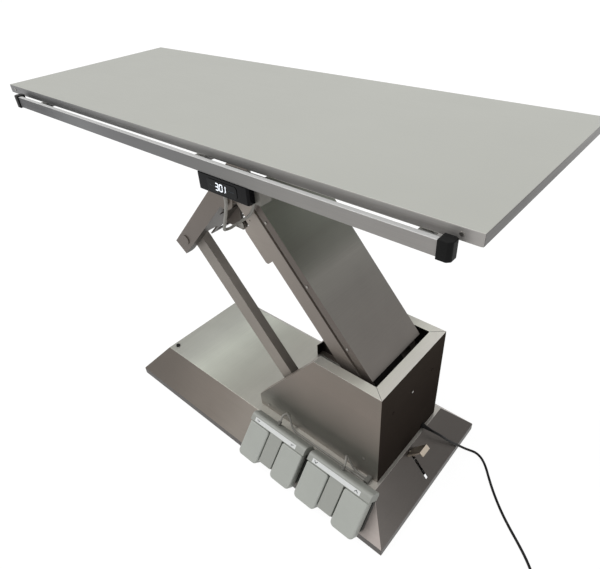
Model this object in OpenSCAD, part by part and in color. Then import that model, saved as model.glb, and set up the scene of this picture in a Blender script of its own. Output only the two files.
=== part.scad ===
// Veterinary exam table with a parallelogram lift arm and a tilting, heated top.
// Millimetres, +Z up. The part's origin is on the floor under the middle of the top.
// +X runs along the base to the column end, +Y goes away from the pedals.
// The pieces are drawn from the middle of the plinth, and the whole is moved to its origin at the end.
// The arm is drawn in its own frame: u runs down the arm from the upper pivot, v is square to it.

/* [Fits] */
// Radial clearance of a pin that turns in a bore
turn_fit = 0.05; // [0.02:0.01:0.1]
// Clearance of a sliding or hinged piece beside its neighbour
side_gap = 1; // [0.5:0.1:1.5]
// Clearance of the lift pin along the arm, which takes up the arc of the open linkage
fork_play = 2.3; // [2:0.1:3]
// Clearance of the tilt pin along its slot
tilt_play = 4; // [3.5:0.5:5]

/* [Sheet and tube] */
// Sheet thickness of covers and pan
sheet = 2.5; // [2:0.5:3]
// Wall of the square tubes
tube_wall = 3; // [2:0.5:4]
// Thickness of the welded plates
plate = 6; // [5:0.5:7]

/* [Base] */
// Length of the plinth
base_len = 1005; // [960:5:1050]
// Depth of the plinth, front to back
base_dep = 490; // [470:5:510]
// Height of the lip's lower edge above the floor
foot_gap = 5; // [4:1:8]
// Height of the lip's upper edge
lip_top = 30; // [25:1:35]
// How far the end slopes run in
slope_in = 75; // [70:1:80]
// Ledge between the housing and the front and back slopes
ledge_w = 25; // [22:1:28]
// Ledge between the housing and the right slope
end_ledge = 8.5; // [6:0.5:10]
// Height of the flat deck
deck_z = 117; // [112:1:122]
// Width of the plinth frame's tubes
ring_w = 30; // [25:1:35]
// Radius of a foot pad
foot_r = 22; // [18:1:26]
// Radius of a foot stud
stud_r = 6; // [5:1:8]
// From a foot's middle to the plinth's end
foot_in = 72.5; // [65:0.5:90]

/* [Column housing] */
// Left end of the housing walls
house_x0 = 2; // [0:1:10]
// Right face of the housing
house_x1 = 419; // [415:1:422]
// Half the housing's depth
house_half = 145; // [142:1:150]
// Height of the housing's rim
house_top = 430; // [425:1:435]
// Height of the walls at their left end
house_low = 160; // [150:1:170]
// Place along X where the slanted wall edge meets the rim
house_knee = 223; // [215:1:230]
// Width of the folded flanges, front and back
flange_w = 27; // [24:1:27]
// Width of the folded flange at the right
flange_end = 33; // [28:1:34]
// Radius of a rivet head
rivet_r = 3.5; // [3:0.5:4]

/* [Linkage] */
// Arm's lower pivot along X
low_x = 368; // [364:1:370]
// Arm's lower pivot height
low_z = 343; // [340:1:348]
// Level distance from the upper pivot to the lower pivot
span_x = 397.6; // [395:0.2:400]
// Height from the lower pivot to the upper pivot
span_z = 449.4; // [446:0.2:452]
// Links' lower pivot along X
link_x = 178; // [174:1:182]
// Links' lower pivot height
link_z = 164; // [162:1:168]
// Radius of the arm's pins
arm_pin_r = 15; // [12:1:16]
// Radius of the links' pins
link_pin_r = 10; // [8:1:12]

/* [Arm] */
// Half the width across the arm's rails
arm_half = 105; // [103:1:105]
// Width of one rail
rail_w = 25; // [22:1:28]
// Rail's underside below the pivot line
rail_lo = 24; // [20:1:24]
// Rail's top above the pivot line
rail_hi = 22; // [20:1:24]
// Rail beyond each pivot
arm_over = 30; // [26:1:30]
// Length of the upper ears, from the pivot to the tube
ear_end = 60; // [50:1:70]
// Width of an ear
ear_w = 18; // [16:1:20]
// How far the ears stand in from the rails' faces
ear_inset = 4; // [3:0.5:5]
// Lower edge of the cover's sides above the pivot line
cover_lo = 30; // [28:1:32]
// Top of the cover above the pivot line
cover_hi = 52; // [48:1:54]
// Upper end of the cover
cover_u0 = 10; // [8:1:14]
// Lower end of the cover
cover_u1 = 541; // [530:1:541]
// Start of the name tab under the front rail
tab_u0 = 80; // [75:1:90]
// End of the name tab
tab_u1 = 182; // [170:1:190]
// Depth of the name tab under the rail
tab_drop = 26; // [22:1:28]
// Corner radius of the name tab
tab_r = 9; // [6:1:11]

/* [Links] */
// Outer face of a link from the middle
link_out = 108; // [107:1:108]
// Width of a link
link_w = 26; // [24:1:26]
// Half the depth of a link
link_half = 25; // [23:1:25]

/* [Head] */
// Outer face of a leg from the middle
leg_out = 140; // [138:1:141]
// Thickness of a leg plate
leg_t = 4; // [3:0.5:5]
// Width of the leg's folded flange
leg_flange = 26; // [22:1:26]
// Width of a leg
leg_w = 47; // [45:1:48]
// Lower corner of a leg along X
leg_x = -233; // [-235:1:-231]
// Lower corner of a leg, height
leg_z = 564; // [562:1:566]
// Angle of the legs to the floor
leg_ang = 47; // [46:0.5:48]
// Length from the lower corner to the tilt shaft
leg_len = 457.8; // [455:0.2:460]
// Start of the web along the leg
web_t0 = 65; // [62:1:70]
// End of the web along the leg
web_t1 = 211; // [200:1:215]
// Half the web's width between the links
web_half = 76; // [70:1:77]
// Place of the lug cheeks from the middle
lug_y = 36; // [34:1:38]
// Thickness of a lug cheek
lug_t = 8; // [6:1:10]
// Radius of a lug
lug_r = 15; // [13:1:16]
// Lift pin from the upper pivot, along X to the left
lift_dx = 65.4; // [63:0.2:68]
// Lift pin below the upper pivot
lift_dz = 135.4; // [133:0.2:138]
// Radius of the lift pin
lift_pin_r = 10; // [8:1:11]
// Radius of the tilt shaft
tilt_r = 10; // [8:1:12]

/* [Lift drive] */
// Middle of the drive from the table's middle
act_y = 20; // [18:1:22]
// Depth of the drive's axis under the pivot line
act_v = 140; // [138:1:142]
// Start of the outer tube along the arm
tube_u0 = 120; // [118:1:125]
// End of the outer tube, where the gearbox starts
tube_u1 = 305; // [300:1:310]
// End of the motor
motor_u1 = 420; // [410:1:425]
// Radius of the outer tube
tube_r = 16; // [15:1:17]
// Radius of the rod
rod_r = 10; // [9:0.5:11]
// Length of the rod behind its fork
rod_len = 190; // [185:1:195]
// Radius of the motor
motor_r = 25; // [22:1:26]

/* [Tilt drive] */
// Lower pin along X
tilt_low_x = -210; // [-212:1:-208]
// Lower pin height
tilt_low_z = 650; // [648:1:652]
// Upper pin along X
tilt_up_x = -60; // [-62:1:-58]
// Upper pin height
tilt_up_z = 926; // [924:1:927]
// Radius of the tilt drive's pins
eye_pin_r = 6; // [5:0.5:7]
// Radius of the tilt drive's outer tube
tilt_tube_r = 14; // [13:1:15]
// Radius of the tilt rod
tilt_rod_r = 8; // [7:0.5:9]

/* [Top] */
// Length of the tabletop
top_len = 1350; // [1300:5:1400]
// Depth of the tabletop
top_dep = 500; // [480:5:520]
// Height of the tabletop
top_z = 975; // [974:1:978]
// Middle of the tabletop along X
top_x = -61; // [-65:1:-58]
// Height of the pan's skirt
skirt_h = 25; // [24:1:25]
// Width of the pan's folded lower edge
hem_w = 15; // [12:1:20]
// Half the width across the frame tubes
frame_half = 125; // [120:1:126]
// Width of a frame tube
frame_w = 25; // [20:1:25]
// Height of the frame tubes
frame_h = 35; // [30:1:36]
// Left end of the frame
frame_x0 = -560; // [-580:5:-540]
// Right end of the frame
frame_x1 = 330; // [310:5:330]
// Thickness of the heating mat
mat_t = 3; // [2:0.5:4]

/* [Side rails] */
// How far a rail's outer face stands out from the side of the top
bar_out = 25; // [22:1:30]
// Thickness of a rail
bar_t = 10; // [8:1:11]
// Height of a rail
bar_h = 25; // [23:1:27]
// Lower edge of a rail
bar_z = 936; // [934:1:937]
// Left end of a rail
bar_x0 = -640; // [-650:5:-630]
// Right end of a rail
bar_x1 = 564; // [560:1:575]
// Length of an end cap
cap_len = 21; // [18:1:24]
// Depth of an end cap behind the rail's outer face
cap_dep = 19; // [17:1:20]
// Width of a cross bar
cross_w = 28; // [25:1:30]
// Thickness of a cross bar
cross_t = 10; // [8:1:10]

/* [Controller] */
// Left end of the controller
ctrl_x0 = 84; // [80:1:90]
// Length of the controller
ctrl_len = 132; // [125:1:135]
// How far the controller's front face stands out from the rail
ctrl_out = 2; // [1:0.5:4]
// Depth of the controller
ctrl_dep = 47; // [44:1:50]
// Height of the controller
ctrl_h = 33; // [30:1:34]
// Corner radius of the controller
ctrl_r = 4; // [3:0.5:5]
// Length of the window
glass_len = 78; // [70:1:80]
// Height of the window
glass_h = 23; // [20:1:25]
// Thickness of the window
glass_t = 1; // [1:0.5:2]
// Thickness of the holder's strap
strap_t = 3; // [2:0.5:3]
// Width of the holder's foot
strap_w = 14; // [12:1:16]

/* [Foot pedals] */
// Left end of the left pedal
pedal_x0 = 28; // [24:1:30]
// Left end of the right pedal
pedal_x1 = 242; // [240:1:246]
// Length of a pedal
pedal_len = 200; // [190:1:200]
// Width of a pad
pad_w = 72; // [68:1:73]
// Outer margin beside a pad
pad_side = 2; // [1.5:0.5:3]
// Reach of a pad down the slope
pad_reach = 122; // [118:1:124]
// Underside of a pad above the slope
pad_lo = 20; // [19:0.5:22]
// Top of a pad above the slope
pad_hi = 45; // [43:0.5:46]
// Place where the pads start down the slope
pad_start = 18; // [17:0.5:20]
// Corner radius of a pad
pad_r = 13; // [10:1:16]
// Reach of the case down the slope
case_reach = 106; // [100:1:110]
// Thickness of the case's floor
case_floor = 12; // [10:0.5:13]
// Width of the bridge between the pads
bridge_w = 48; // [44:1:50]
// Hinge of a pad down the slope
hinge_y = 26; // [25:0.5:28]
// Hinge of a pad above the slope
hinge_n = 28; // [26:0.5:30]
// Radius of the pad's hinge pin
hinge_r = 3; // [2.5:0.5:3.5]
// Thickness of a label strip
label_t = 0.6; // [0.4:0.1:1]

/* [Foot lever] */
// Transport shaft along X
shaft_x = 425; // [423:1:427]
// Transport shaft height
shaft_z = 28; // [27:1:30]
// Radius of the transport shaft
shaft_r = 8; // [7:0.5:9]
// Half the length of the transport shaft
shaft_half = 152; // [150:1:160]
// Middle of the lever across the base
lever_y = -8; // [-10:1:-6]
// Length of the lever's neck
neck_len = 84; // [82:1:86]
// Width of the lever's neck
neck_w = 10; // [8:1:11]
// Angle of the neck above the floor
neck_ang = 81.8; // [81:0.2:82]
// Length of the tread
tread_len = 54; // [50:1:56]
// Width of the tread
tread_w = 34; // [32:1:38]
// Thickness of the tread
tread_t = 4; // [3:0.5:5]
// Angle of the tread above the floor
tread_ang = 52; // [50:1:54]
// Length of the roller arms
swing_len = 31; // [30:1:33]
// Angle of the roller arms above the floor
swing_ang = 26; // [24:0.5:28]
// Radius of a transport roller
roller_r = 15; // [13:1:15]
// Width of a transport roller
roller_w = 18; // [16:1:20]
// Place of the roller arms from the middle
swing_y = 110; // [105:1:115]

/* [Power cord] */
// Diameter of the cord
cord_d = 7; // [6:0.5:8]
// Thickness of the gland's flange
gland_t = 3; // [2:0.5:4]
// Loops in each layer of the coil
coil_loops = 4; // [3:1:4]
// Radius of the coil's outer loop
coil_r = 56; // [52:1:60]
// Step between loops beside each other
coil_step = 7.7; // [7.6:0.1:8]
// Step between the coil's layers
coil_rise = 7.6; // [7.5:0.1:8]
// Diameter of the pedal cables
lead_d = 5.5; // [5:0.5:6]

/* [Hidden] */
fine = 96;
$fn = fine;
tiny = sheet/25;
arm_len = norm([span_x, span_z]);
arm_ang = atan2(span_z, span_x);
up_x = low_x - span_x;
up_z = low_z + span_z;
link_up_x = link_x - span_x;
link_up_z = link_z + span_z;
deck_x1 = house_x1 + end_ledge;
base_x1 = deck_x1 + slope_in;
base_x0 = base_x1 - base_len;
deck_x0 = base_x0 + slope_in;
deck_dep = 2*(house_half + ledge_w);
slope_dy = (base_dep - deck_dep)/2;
slope_ang = atan2(deck_z - lip_top, slope_dy);
end_ang = atan2(deck_z - lip_top, slope_in);
foot_x0 = base_x0 + foot_in;
foot_x1 = base_x1 - foot_in;
bar_face = top_dep/2 + bar_out;
ctrl_face = bar_face + ctrl_out;
ring_z0 = foot_gap + 1.4*stud_r;
ring_z1 = ring_z0 + ring_w;
foot_y = base_dep/2 - 1.17*ring_w;
pan_bot = top_z - skirt_h;
frame_z1 = pan_bot - cross_t;
frame_z0 = frame_z1 - frame_h;
house_in = house_half - sheet;
cheek_y1 = house_half - flange_w - side_gap;
cheek_y0 = cheek_y1 - plate - side_gap;
tilt_dx = tilt_up_x - tilt_low_x;
tilt_dz = tilt_up_z - tilt_low_z;
tilt_len = norm([tilt_dx, tilt_dz]);
tilt_ang = atan2(tilt_dz, tilt_dx);
lift_u = -lift_dx*cos(arm_ang) + lift_dz*sin(arm_ang);
lift_v = lift_dx*sin(arm_ang) + lift_dz*cos(arm_ang);
tilt_x = leg_x + leg_len*cos(leg_ang) - leg_w/2*sin(leg_ang);
tilt_z = leg_z + leg_len*sin(leg_ang) + leg_w/2*cos(leg_ang);
lift_t = (up_x - lift_dx - leg_x)*cos(leg_ang) + (up_z - lift_dz - leg_z)*sin(leg_ang);
lift_n = -(up_x - lift_dx - leg_x)*sin(leg_ang) + (up_z - lift_dz - leg_z)*cos(leg_ang);
knee_t = (up_x - leg_x)*cos(leg_ang) + (up_z - leg_z)*sin(leg_ang);
knee_n = -(up_x - leg_x)*sin(leg_ang) + (up_z - leg_z)*cos(leg_ang);
bend_t = (link_up_x - leg_x)*cos(leg_ang) + (link_up_z - leg_z)*sin(leg_ang);
bend_n = -(link_up_x - leg_x)*sin(leg_ang) + (link_up_z - leg_z)*cos(leg_ang);
low_t = (tilt_low_x - leg_x)*cos(leg_ang) + (tilt_low_z - leg_z)*sin(leg_ang);
low_n = -(tilt_low_x - leg_x)*sin(leg_ang) + (tilt_low_z - leg_z)*cos(leg_ang);
tread_x = shaft_x + neck_len*cos(neck_ang);
tread_z = shaft_z + neck_len*sin(neck_ang);
roll_x = shaft_x + swing_len*cos(swing_ang);
roll_z = shaft_z + swing_len*sin(swing_ang);
eye_r = 2*eye_pin_r;
hinge_clear = hinge_r + turn_fit;

// Routes of the free cords, set by hand in millimetres and scaled with the cord
k = cord_d/7;
cord_route = [
  [447, 75, 128]*k, [453, 75, 128]*k, [459, 76, 127]*k, [468, 81, 121]*k, [476, 88, 111]*k,
  [483, 98, 96]*k,
  [490, 110, 79]*k, [497, 124, 61]*k, [504, 138, 44]*k, [512, 151, 28]*k, [522, 163, 14]*k,
  [534, 172, 6]*k, [549, 176, 4]*k, [565, 172, 4]*k, [580, 162, 4]*k, [595, 147, 4]*k,
  [612, 126, 4]*k, [632, 102, 4]*k, [656, 76, 4]*k, [684, 49, 4]*k, [714, 24, 4]*k,
  [744, 1, 4]*k, [770, -20, 4]*k, [793, -42, 4]*k, [810, -64, 4]*k, [817, -84, 3.5]*k,
  [818, -97, 3.5]*k, [818, -104, 3.5]*k, [818, -111, 3.5]*k
];
cord_end = cord_route[len(cord_route) - 1];
coil_x = cord_end[0] + coil_r;
coil_y = cord_end[1] - cord_d;
ctrl_route = [
  [112, -242, 903]*k, [112, -242, 897]*k, [110, -241, 889]*k, [102, -236, 872]*k, [88, -225, 850]*k,
  [66, -212, 820]*k, [42, -199, 786]*k, [18, -186, 754]*k, [2, -175, 737]*k, [-5, -164, 730]*k,
  [-5, -152, 728]*k, [-2, -140, 731]*k, [4, -128, 736]*k, [12, -120, 743]*k, [24, -117, 753]*k,
  [36, -115, 768]*k, [44, -115, 790]*k, [46, -115, 820]*k, [43, -115, 850]*k, [40, -115, 880]*k,
  [39, -115, 892]*k, [39, -115, 899]*k, [39, -115, 905]*k
];
left_route = [
  [112, -177, 150]*k, [112, -173, 155]*k, [111, -166, 161]*k, [113, -159, 164]*k,
  [117, -153, 163]*k, [123, -152, 156]*k, [129, -154, 146]*k, [135, -157, 135]*k,
  [143, -160, 126]*k, [156, -161, 121]*k, [180, -161, 120]*k, [220, -161, 120]*k,
  [260, -161, 120]*k, [300, -161, 120]*k, [340, -161, 120]*k, [370, -161, 120]*k,
  [392, -161, 120]*k
];
right_route = [
  [338, -177, 150]*k, [338, -173, 155]*k, [335, -166, 161]*k, [331, -159, 163]*k,
  [330, -154, 159]*k, [333, -152, 151]*k, [338, -152, 142]*k, [345, -153, 132]*k,
  [354, -153, 124]*k, [366, -153, 120]*k, [379, -153, 120]*k, [392, -153, 120]*k
];

// Colours
module steel() color([0.62, 0.60, 0.57]) children();
module dark_steel() color([0.38, 0.37, 0.35]) children();
module black() color([0.05, 0.05, 0.05]) children();
module grey_plastic() color([0.64, 0.65, 0.63]) children();
module zinc() color([0.75, 0.75, 0.74]) children();
module bronze() color([0.60, 0.45, 0.25]) children();
module white() color([0.92, 0.92, 0.92]) children();
module cable_grey() color([0.60, 0.60, 0.57]) children();

// Box between two corners
module box(a, b) translate(a) cube(b - a);

// Round bar along Y
module round_y(x, z, r, y0, y1) translate([x, y1, z]) rotate([90, 0, 0]) cylinder(r=r, h=y1 - y0);

// Outline in X and Z, drawn out along Y
module slab_y(points, y0, y1) translate([0, y1, 0]) rotate([90, 0, 0])
  linear_extrude(y1 - y0) polygon(points);

// Outline in Y and Z, drawn out along X
module slab_x(points, x0, x1) translate([x0, 0, 0]) rotate([90, 0, 90])
  linear_extrude(x1 - x0) polygon(points);

// Flat outline with round corners
module soft_rect(a, b, r) {
  translate([a[0] + r, a[1]]) square([b[0] - a[0] - 2*r, b[1] - a[1]]);
  translate([a[0], a[1] + r]) square([b[0] - a[0], b[1] - a[1] - 2*r]);
  for (x = [a[0] + r, b[0] - r], y = [a[1] + r, b[1] - r]) translate([x, y]) circle(r);
}

// The same on both sides of the table
module both_sides() {
  children();
  mirror([0, 1, 0]) children();
}

// Frames of the slanted groups
module on_arm() translate([up_x, 0, up_z]) rotate([0, arm_ang, 0]) children();
module on_leg() translate([leg_x, 0, leg_z]) rotate([0, -leg_ang, 0]) children();
module on_link() translate([link_up_x, 0, link_up_z]) rotate([0, arm_ang, 0]) children();
module on_tilt() translate([tilt_low_x, 0, tilt_low_z]) rotate([0, -tilt_ang, 0]) children();
module on_slope(x) translate([x, -deck_dep/2, deck_z]) rotate([slope_ang, 0, 0]) children();

// Plinth

function shell_edge(a, b, in, ang, t) = [
  [a + t, foot_gap - 2*t], [a + t, lip_top + t*tan(ang) - t/cos(ang)],
  [a + in + t*(1 - cos(ang))/sin(ang), deck_z - t],
  [b - in - t*(1 - cos(ang))/sin(ang), deck_z - t],
  [b - t, lip_top + t*tan(ang) - t/cos(ang)], [b - t, foot_gap - 2*t]
];

module shell(t) intersection() {
  slab_y(shell_edge(base_x0, base_x1, slope_in, end_ang, t), -base_dep, base_dep);
  slab_x(shell_edge(-base_dep/2, base_dep/2, slope_dy, slope_ang, t), 2*base_x0, 2*base_x1);
}

module base_cover() steel() difference() {
  shell(0);
  shell(sheet);
  // Slot of the foot lever in the right slope
  slab_y([
    [deck_x1 + 0.8*sheet, deck_z + sheet], [deck_x1 + slope_in*0.87, lip_top + 6*sheet],
    [deck_x1 + slope_in*0.78, lip_top + 0.5*sheet], [deck_x1 + 0.8*sheet, deck_z - 4*sheet]
  ], lever_y - 0.4*neck_w, lever_y + 0.4*neck_w);
}

module ring_tube(a, b) difference() {
  box(a, b);
  d = b - a;
  along = d[0] > d[1] ? [1, 0, 0] : [0, 1, 0];
  box(a + tube_wall*([1, 1, 1] - 2*along), b - tube_wall*([1, 1, 1] - 2*along));
}

module base_frame() dark_steel() difference() {
  union() {
    both_sides() ring_tube(
      [foot_x0 - ring_w, foot_y - ring_w/2, ring_z0], [foot_x1 + ring_w, foot_y + ring_w/2, ring_z1]);
    for (x = [foot_x0 + ring_w, link_x - ring_w, low_x - ring_w/2]) ring_tube(
      [x, -foot_y + ring_w/2, ring_z0], [x + ring_w, foot_y - ring_w/2, ring_z1]);
    for (x = [foot_x0 + ring_w, link_x - ring_w, low_x - ring_w/2]) both_sides()
      box([x, cheek_y0 - ring_w, ring_z1], [x + ring_w, cheek_y0, deck_z - sheet]);
  }
  for (x = [foot_x0, foot_x1]) both_sides() translate([x, foot_y, 0]) cylinder(r=stud_r, h=deck_z);
}

module foot_pads() black() for (x = [foot_x0, foot_x1]) both_sides()
  translate([x, foot_y, 0]) cylinder(r=foot_r, h=1.2*stud_r);

module foot_studs() zinc() for (x = [foot_x0, foot_x1]) both_sides()
  translate([x, foot_y, 1.2*stud_r]) {
    cylinder(r=stud_r, h=ring_z1 + 0.8*stud_r - 1.2*stud_r);
    cylinder(r=1.7*stud_r, h=ring_z0 - 1.2*stud_r);
  }

// Column housing

module house_wall() slab_y([
  [house_x0, deck_z], [house_x1, deck_z], [house_x1, house_top],
  [house_knee, house_top], [house_x0, house_low]
], -house_half, -house_in);

module house_slant() {
  run = [house_knee - house_x0, house_top - house_low];
  down = sheet*[run[1], -run[0]]/norm(run);
  slab_y([
    [house_x0, house_low], [house_knee, house_top],
    [house_knee, house_top] + down, [house_x0, house_low] + down
  ], -house_half, -house_half + flange_w);
}

module housing() steel() {
  both_sides() {
    house_wall();
    house_slant();
    box([house_x0, -house_half, deck_z], [house_x0 + sheet, -house_half + flange_w, house_low]);
    box([house_x0, -house_half, deck_z], [house_x1, -house_half + 0.7*flange_w, deck_z + sheet]);
    box([house_knee, -house_half, house_top - sheet],
      [house_x1, -house_half + flange_w, house_top]);
  }
  box([house_x1 - sheet, -house_half, deck_z], [house_x1, house_half, house_top]);
  box([house_x1 - flange_end, -house_half, house_top - sheet],
    [house_x1, house_half, house_top]);
}

module housing_rivets() zinc() {
  for (y = [-0.62, -0.04, 0.62]*house_half) translate([house_x1, y, house_top - 3.4*flange_w])
    rotate([0, 90, 0]) cylinder(r=rivet_r, h=rivet_r/2);
  both_sides() for (p = [[house_x0 + 1.2*flange_w, deck_z + 0.7*flange_w],
      [house_x1 - 1.6*flange_w, deck_z + 2.4*flange_w]])
    round_y(p[0], p[1], rivet_r, -house_half - rivet_r/2, -house_half);
}

module deck_plug() black() translate([deck_x0 + 5*rivet_r, -deck_dep/2 + 7*rivet_r, deck_z])
  cylinder(r=2*rivet_r, h=rivet_r);

// Pedestal and pins in the housing

module cheek() difference() {
  union() {
    slab_y([
      [link_x - 1.8*link_pin_r, deck_z], [house_x1 - 4*sheet, deck_z],
      [low_x + 2.1*arm_pin_r, low_z], [low_x - 2*arm_pin_r, low_z + 0.8*arm_pin_r],
      [link_x + 1.2*link_pin_r, link_z + 2.1*link_pin_r], [link_x - 2.4*link_pin_r, link_z]
    ], -cheek_y1, -cheek_y1 + plate);
    round_y(low_x, low_z, 2.1*arm_pin_r, -cheek_y1, -cheek_y1 + plate);
    round_y(link_x, link_z, 2.4*link_pin_r, -cheek_y1, -cheek_y1 + plate);
  }
  round_y(low_x, low_z, arm_pin_r, -house_half, 0);
  round_y(link_x, link_z, link_pin_r, -house_half, 0);
}

module pedestal() dark_steel() {
  both_sides() cheek();
  box([link_x - 1.8*link_pin_r, -cheek_y1 + plate, deck_z],
    [house_x1 - 4*sheet, cheek_y1 - plate, deck_z + plate]);
  box([low_x - ring_w, -cheek_y1 + plate, deck_z + plate],
    [low_x + 0.5*ring_w, cheek_y1 - plate, deck_z + 1.6*ring_w]);
}

module headed_pin(x, z, r, y_in, y_out) {
  round_y(x, z, r, -y_out, -y_in);
  round_y(x, z, 1.3*r, -y_out - 0.3*r, -y_out);
}

module base_pins() zinc() both_sides() {
  headed_pin(low_x, low_z, arm_pin_r, arm_half - rail_w, cheek_y1);
  headed_pin(link_x, link_z, link_pin_r, link_out - link_w, cheek_y1);
}

module control_box() black() box(
  [link_x + 2*ring_w, -2*ring_w, deck_z + plate], [low_x - ring_w, 2*ring_w, deck_z + 2.6*ring_w]);

// Transport shaft, foot lever and rollers

module shaft_bearings() dark_steel() both_sides() difference() {
  union() {
    box([low_x + ring_w/2 - 0.9*ring_w, shaft_half - plate, ring_z1],
      [low_x + ring_w/2, shaft_half, ring_z1 + plate]);
    box([low_x + ring_w/2, shaft_half - plate, ring_z0],
      [shaft_x, shaft_half, ring_z1 + plate]);
    round_y(shaft_x, shaft_z, 2*shaft_r, shaft_half - plate, shaft_half);
  }
  round_y(shaft_x, shaft_z, shaft_r + turn_fit, 0, base_dep);
}

module foot_lever() steel() translate([0, lever_y, 0]) {
  difference() {
    union() {
      translate([shaft_x, 0, shaft_z]) rotate([0, -neck_ang, 0])
        box([0, -neck_w/4, -neck_w/2], [neck_len, neck_w/4, neck_w/2]);
      round_y(shaft_x, shaft_z, 1.7*shaft_r, -neck_w, neck_w);
    }
    round_y(shaft_x, shaft_z, shaft_r, -base_dep, base_dep);
  }
  translate([tread_x, 0, tread_z]) rotate([0, -tread_ang, 0]) {
    box([-tread_t/2, -tread_w/2, -tread_t/2], [tread_len, tread_w/2, tread_t/2]);
    box([tread_len - tread_t, -tread_w/2, -3*tread_t], [tread_len, tread_w/2, tread_t/2]);
    slab_y([[-tread_t, -tread_t/4], [0.7*tread_len, -tread_t/4], [-tread_t/2, -3.5*tread_t]],
      -neck_w/4, neck_w/4);
  }
}

module swing_arm() translate([shaft_x, swing_y, shaft_z]) rotate([90, 0, 0]) linear_extrude(plate) {
  circle(1.6*shaft_r);
  rotate(swing_ang) polygon([
    [0, -1.4*shaft_r], [swing_len, -0.9*shaft_r], [swing_len, 0.9*shaft_r], [0, 1.4*shaft_r]
  ]);
  translate([roll_x - shaft_x, roll_z - shaft_z]) circle(shaft_r);
}

module roller_shaft() zinc() {
  round_y(shaft_x, shaft_z, shaft_r, -shaft_half - plate/2, shaft_half + plate/2);
  both_sides() {
    swing_arm();
    round_y(roll_x, roll_z, shaft_r/2, swing_y - plate/2, swing_y + roller_w + 2*side_gap + shaft_r/4);
    round_y(roll_x, roll_z, 0.8*shaft_r, swing_y + roller_w + 2*side_gap,
      swing_y + roller_w + 2*side_gap + shaft_r/3);
  }
}

module roller() black() difference() {
  round_y(roll_x, roll_z, roller_r, swing_y + side_gap, swing_y + side_gap + roller_w);
  round_y(roll_x, roll_z, shaft_r/2 + turn_fit, 0, base_dep);
}

module roller_front() mirror([0, 1, 0]) roller();

module roller_back() roller();

// Foot pedals, drawn on the front slope: x along, y up the slope, z square to it

module pedal_case() grey_plastic() difference() {
  mid = pedal_len/2;
  union() {
    box([0, -case_reach, 0], [pedal_len, -pad_start, case_floor]);
    box([mid - bridge_w/2, -case_reach, 0],
      [mid + bridge_w/2, -pad_start + 2*side_gap, pad_hi - side_gap/2]);
    slab_x([
      [-pad_start + 2*side_gap, 0], [0, 0], [2*pad_side, 4*pad_side], [2*pad_side, 0.75*pad_hi],
      [-3*pad_side, pad_hi + side_gap], [-pad_start + 2*side_gap, pad_hi + side_gap]
    ], 0, pedal_len);
  }
  translate([-pedal_len, -hinge_y, hinge_n]) rotate([0, 90, 0])
    cylinder(r=hinge_r, h=3*pedal_len);
}

module pedal_case_left() on_slope(pedal_x0) pedal_case();

module pedal_case_right() on_slope(pedal_x1) pedal_case();

module hinge_pins() zinc() for (x = [pedal_x0, pedal_x1]) on_slope(x)
  translate([pad_side, -hinge_y, hinge_n]) rotate([0, 90, 0])
    cylinder(r=hinge_r, h=pedal_len - 2*pad_side);

module pedal_labels() white() for (x = [pedal_x0, pedal_x1]) on_slope(x)
  box([0.06*pedal_len, -0.72*pad_start, pad_hi + side_gap],
    [0.94*pedal_len, -0.38*pad_start, pad_hi + side_gap + label_t]);

module pedal_contacts() black() for (x = [pedal_x0, pedal_x1], s = [0.19, 0.81]) on_slope(x)
  translate([s*pedal_len, -0.62*case_reach, case_floor]) {
    translate([-pad_r/2, -pad_r/2, 0]) cube([pad_r, pad_r, 1.5*side_gap]);
    cylinder(r=hinge_r, h=2.6*side_gap);
  }

module pad(x0) grey_plastic() difference() {
  nose = (pad_hi - pad_lo)/2;
  intersection() {
    union() {
      box([x0, -pad_reach + nose, pad_lo], [x0 + pad_w, -pad_start, pad_hi]);
      translate([x0, -pad_reach + nose, pad_lo + nose]) rotate([0, 90, 0])
        cylinder(r=nose, h=pad_w);
    }
    linear_extrude(2*pad_hi) union() {
      soft_rect([x0, -pad_reach], [x0 + pad_w, -pad_start], pad_r/2);
      soft_rect([x0, -pad_reach], [x0 + pad_w, -pad_start - pad_r], pad_r);
    }
  }
  translate([-pedal_len, -hinge_y, hinge_n]) rotate([0, 90, 0])
    cylinder(r=hinge_clear, h=3*pedal_len);
}

module pad_tilt_left() on_slope(pedal_x0) pad(pad_side);

module pad_tilt_right() on_slope(pedal_x0) pad(pedal_len - pad_side - pad_w);

module pad_down() on_slope(pedal_x1) pad(pad_side);

module pad_up() on_slope(pedal_x1) pad(pedal_len - pad_side - pad_w);

// Cords: one tube swept along a route by functions

function unit(v) = v/norm(v);

function bend(p, i, t) =
  let (a = p[max(i - 1, 0)], b = p[i], c = p[i + 1], d = p[min(i + 2, len(p) - 1)])
  0.5*(2*b + (c - a)*t + (2*a - 5*b + 4*c - d)*t*t + (3*b - a - 3*c + d)*t*t*t);

function smooth_path(p, n) = concat(
  [for (i = [0:len(p) - 2], j = [0:n - 1]) bend(p, i, j/n)], [p[len(p) - 1]]);

function path_len(p) = len(p) < 2 ? 0 : sum_steps(p, len(p) - 1);

function sum_steps(p, i) = i == 0 ? 0 : norm(p[i] - p[i - 1]) + sum_steps(p, i - 1);

function heading(p, i) = unit(p[min(i + 1, len(p) - 1)] - p[max(i - 1, 0)]);

function ring_at(p, i, r, sides, up) =
  let (t = heading(p, i), s = unit(cross(t, up)), w = cross(s, t))
  [for (j = [0:sides - 1]) p[i] + r*(cos(360*j/sides)*s + sin(360*j/sides)*w)];

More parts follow.
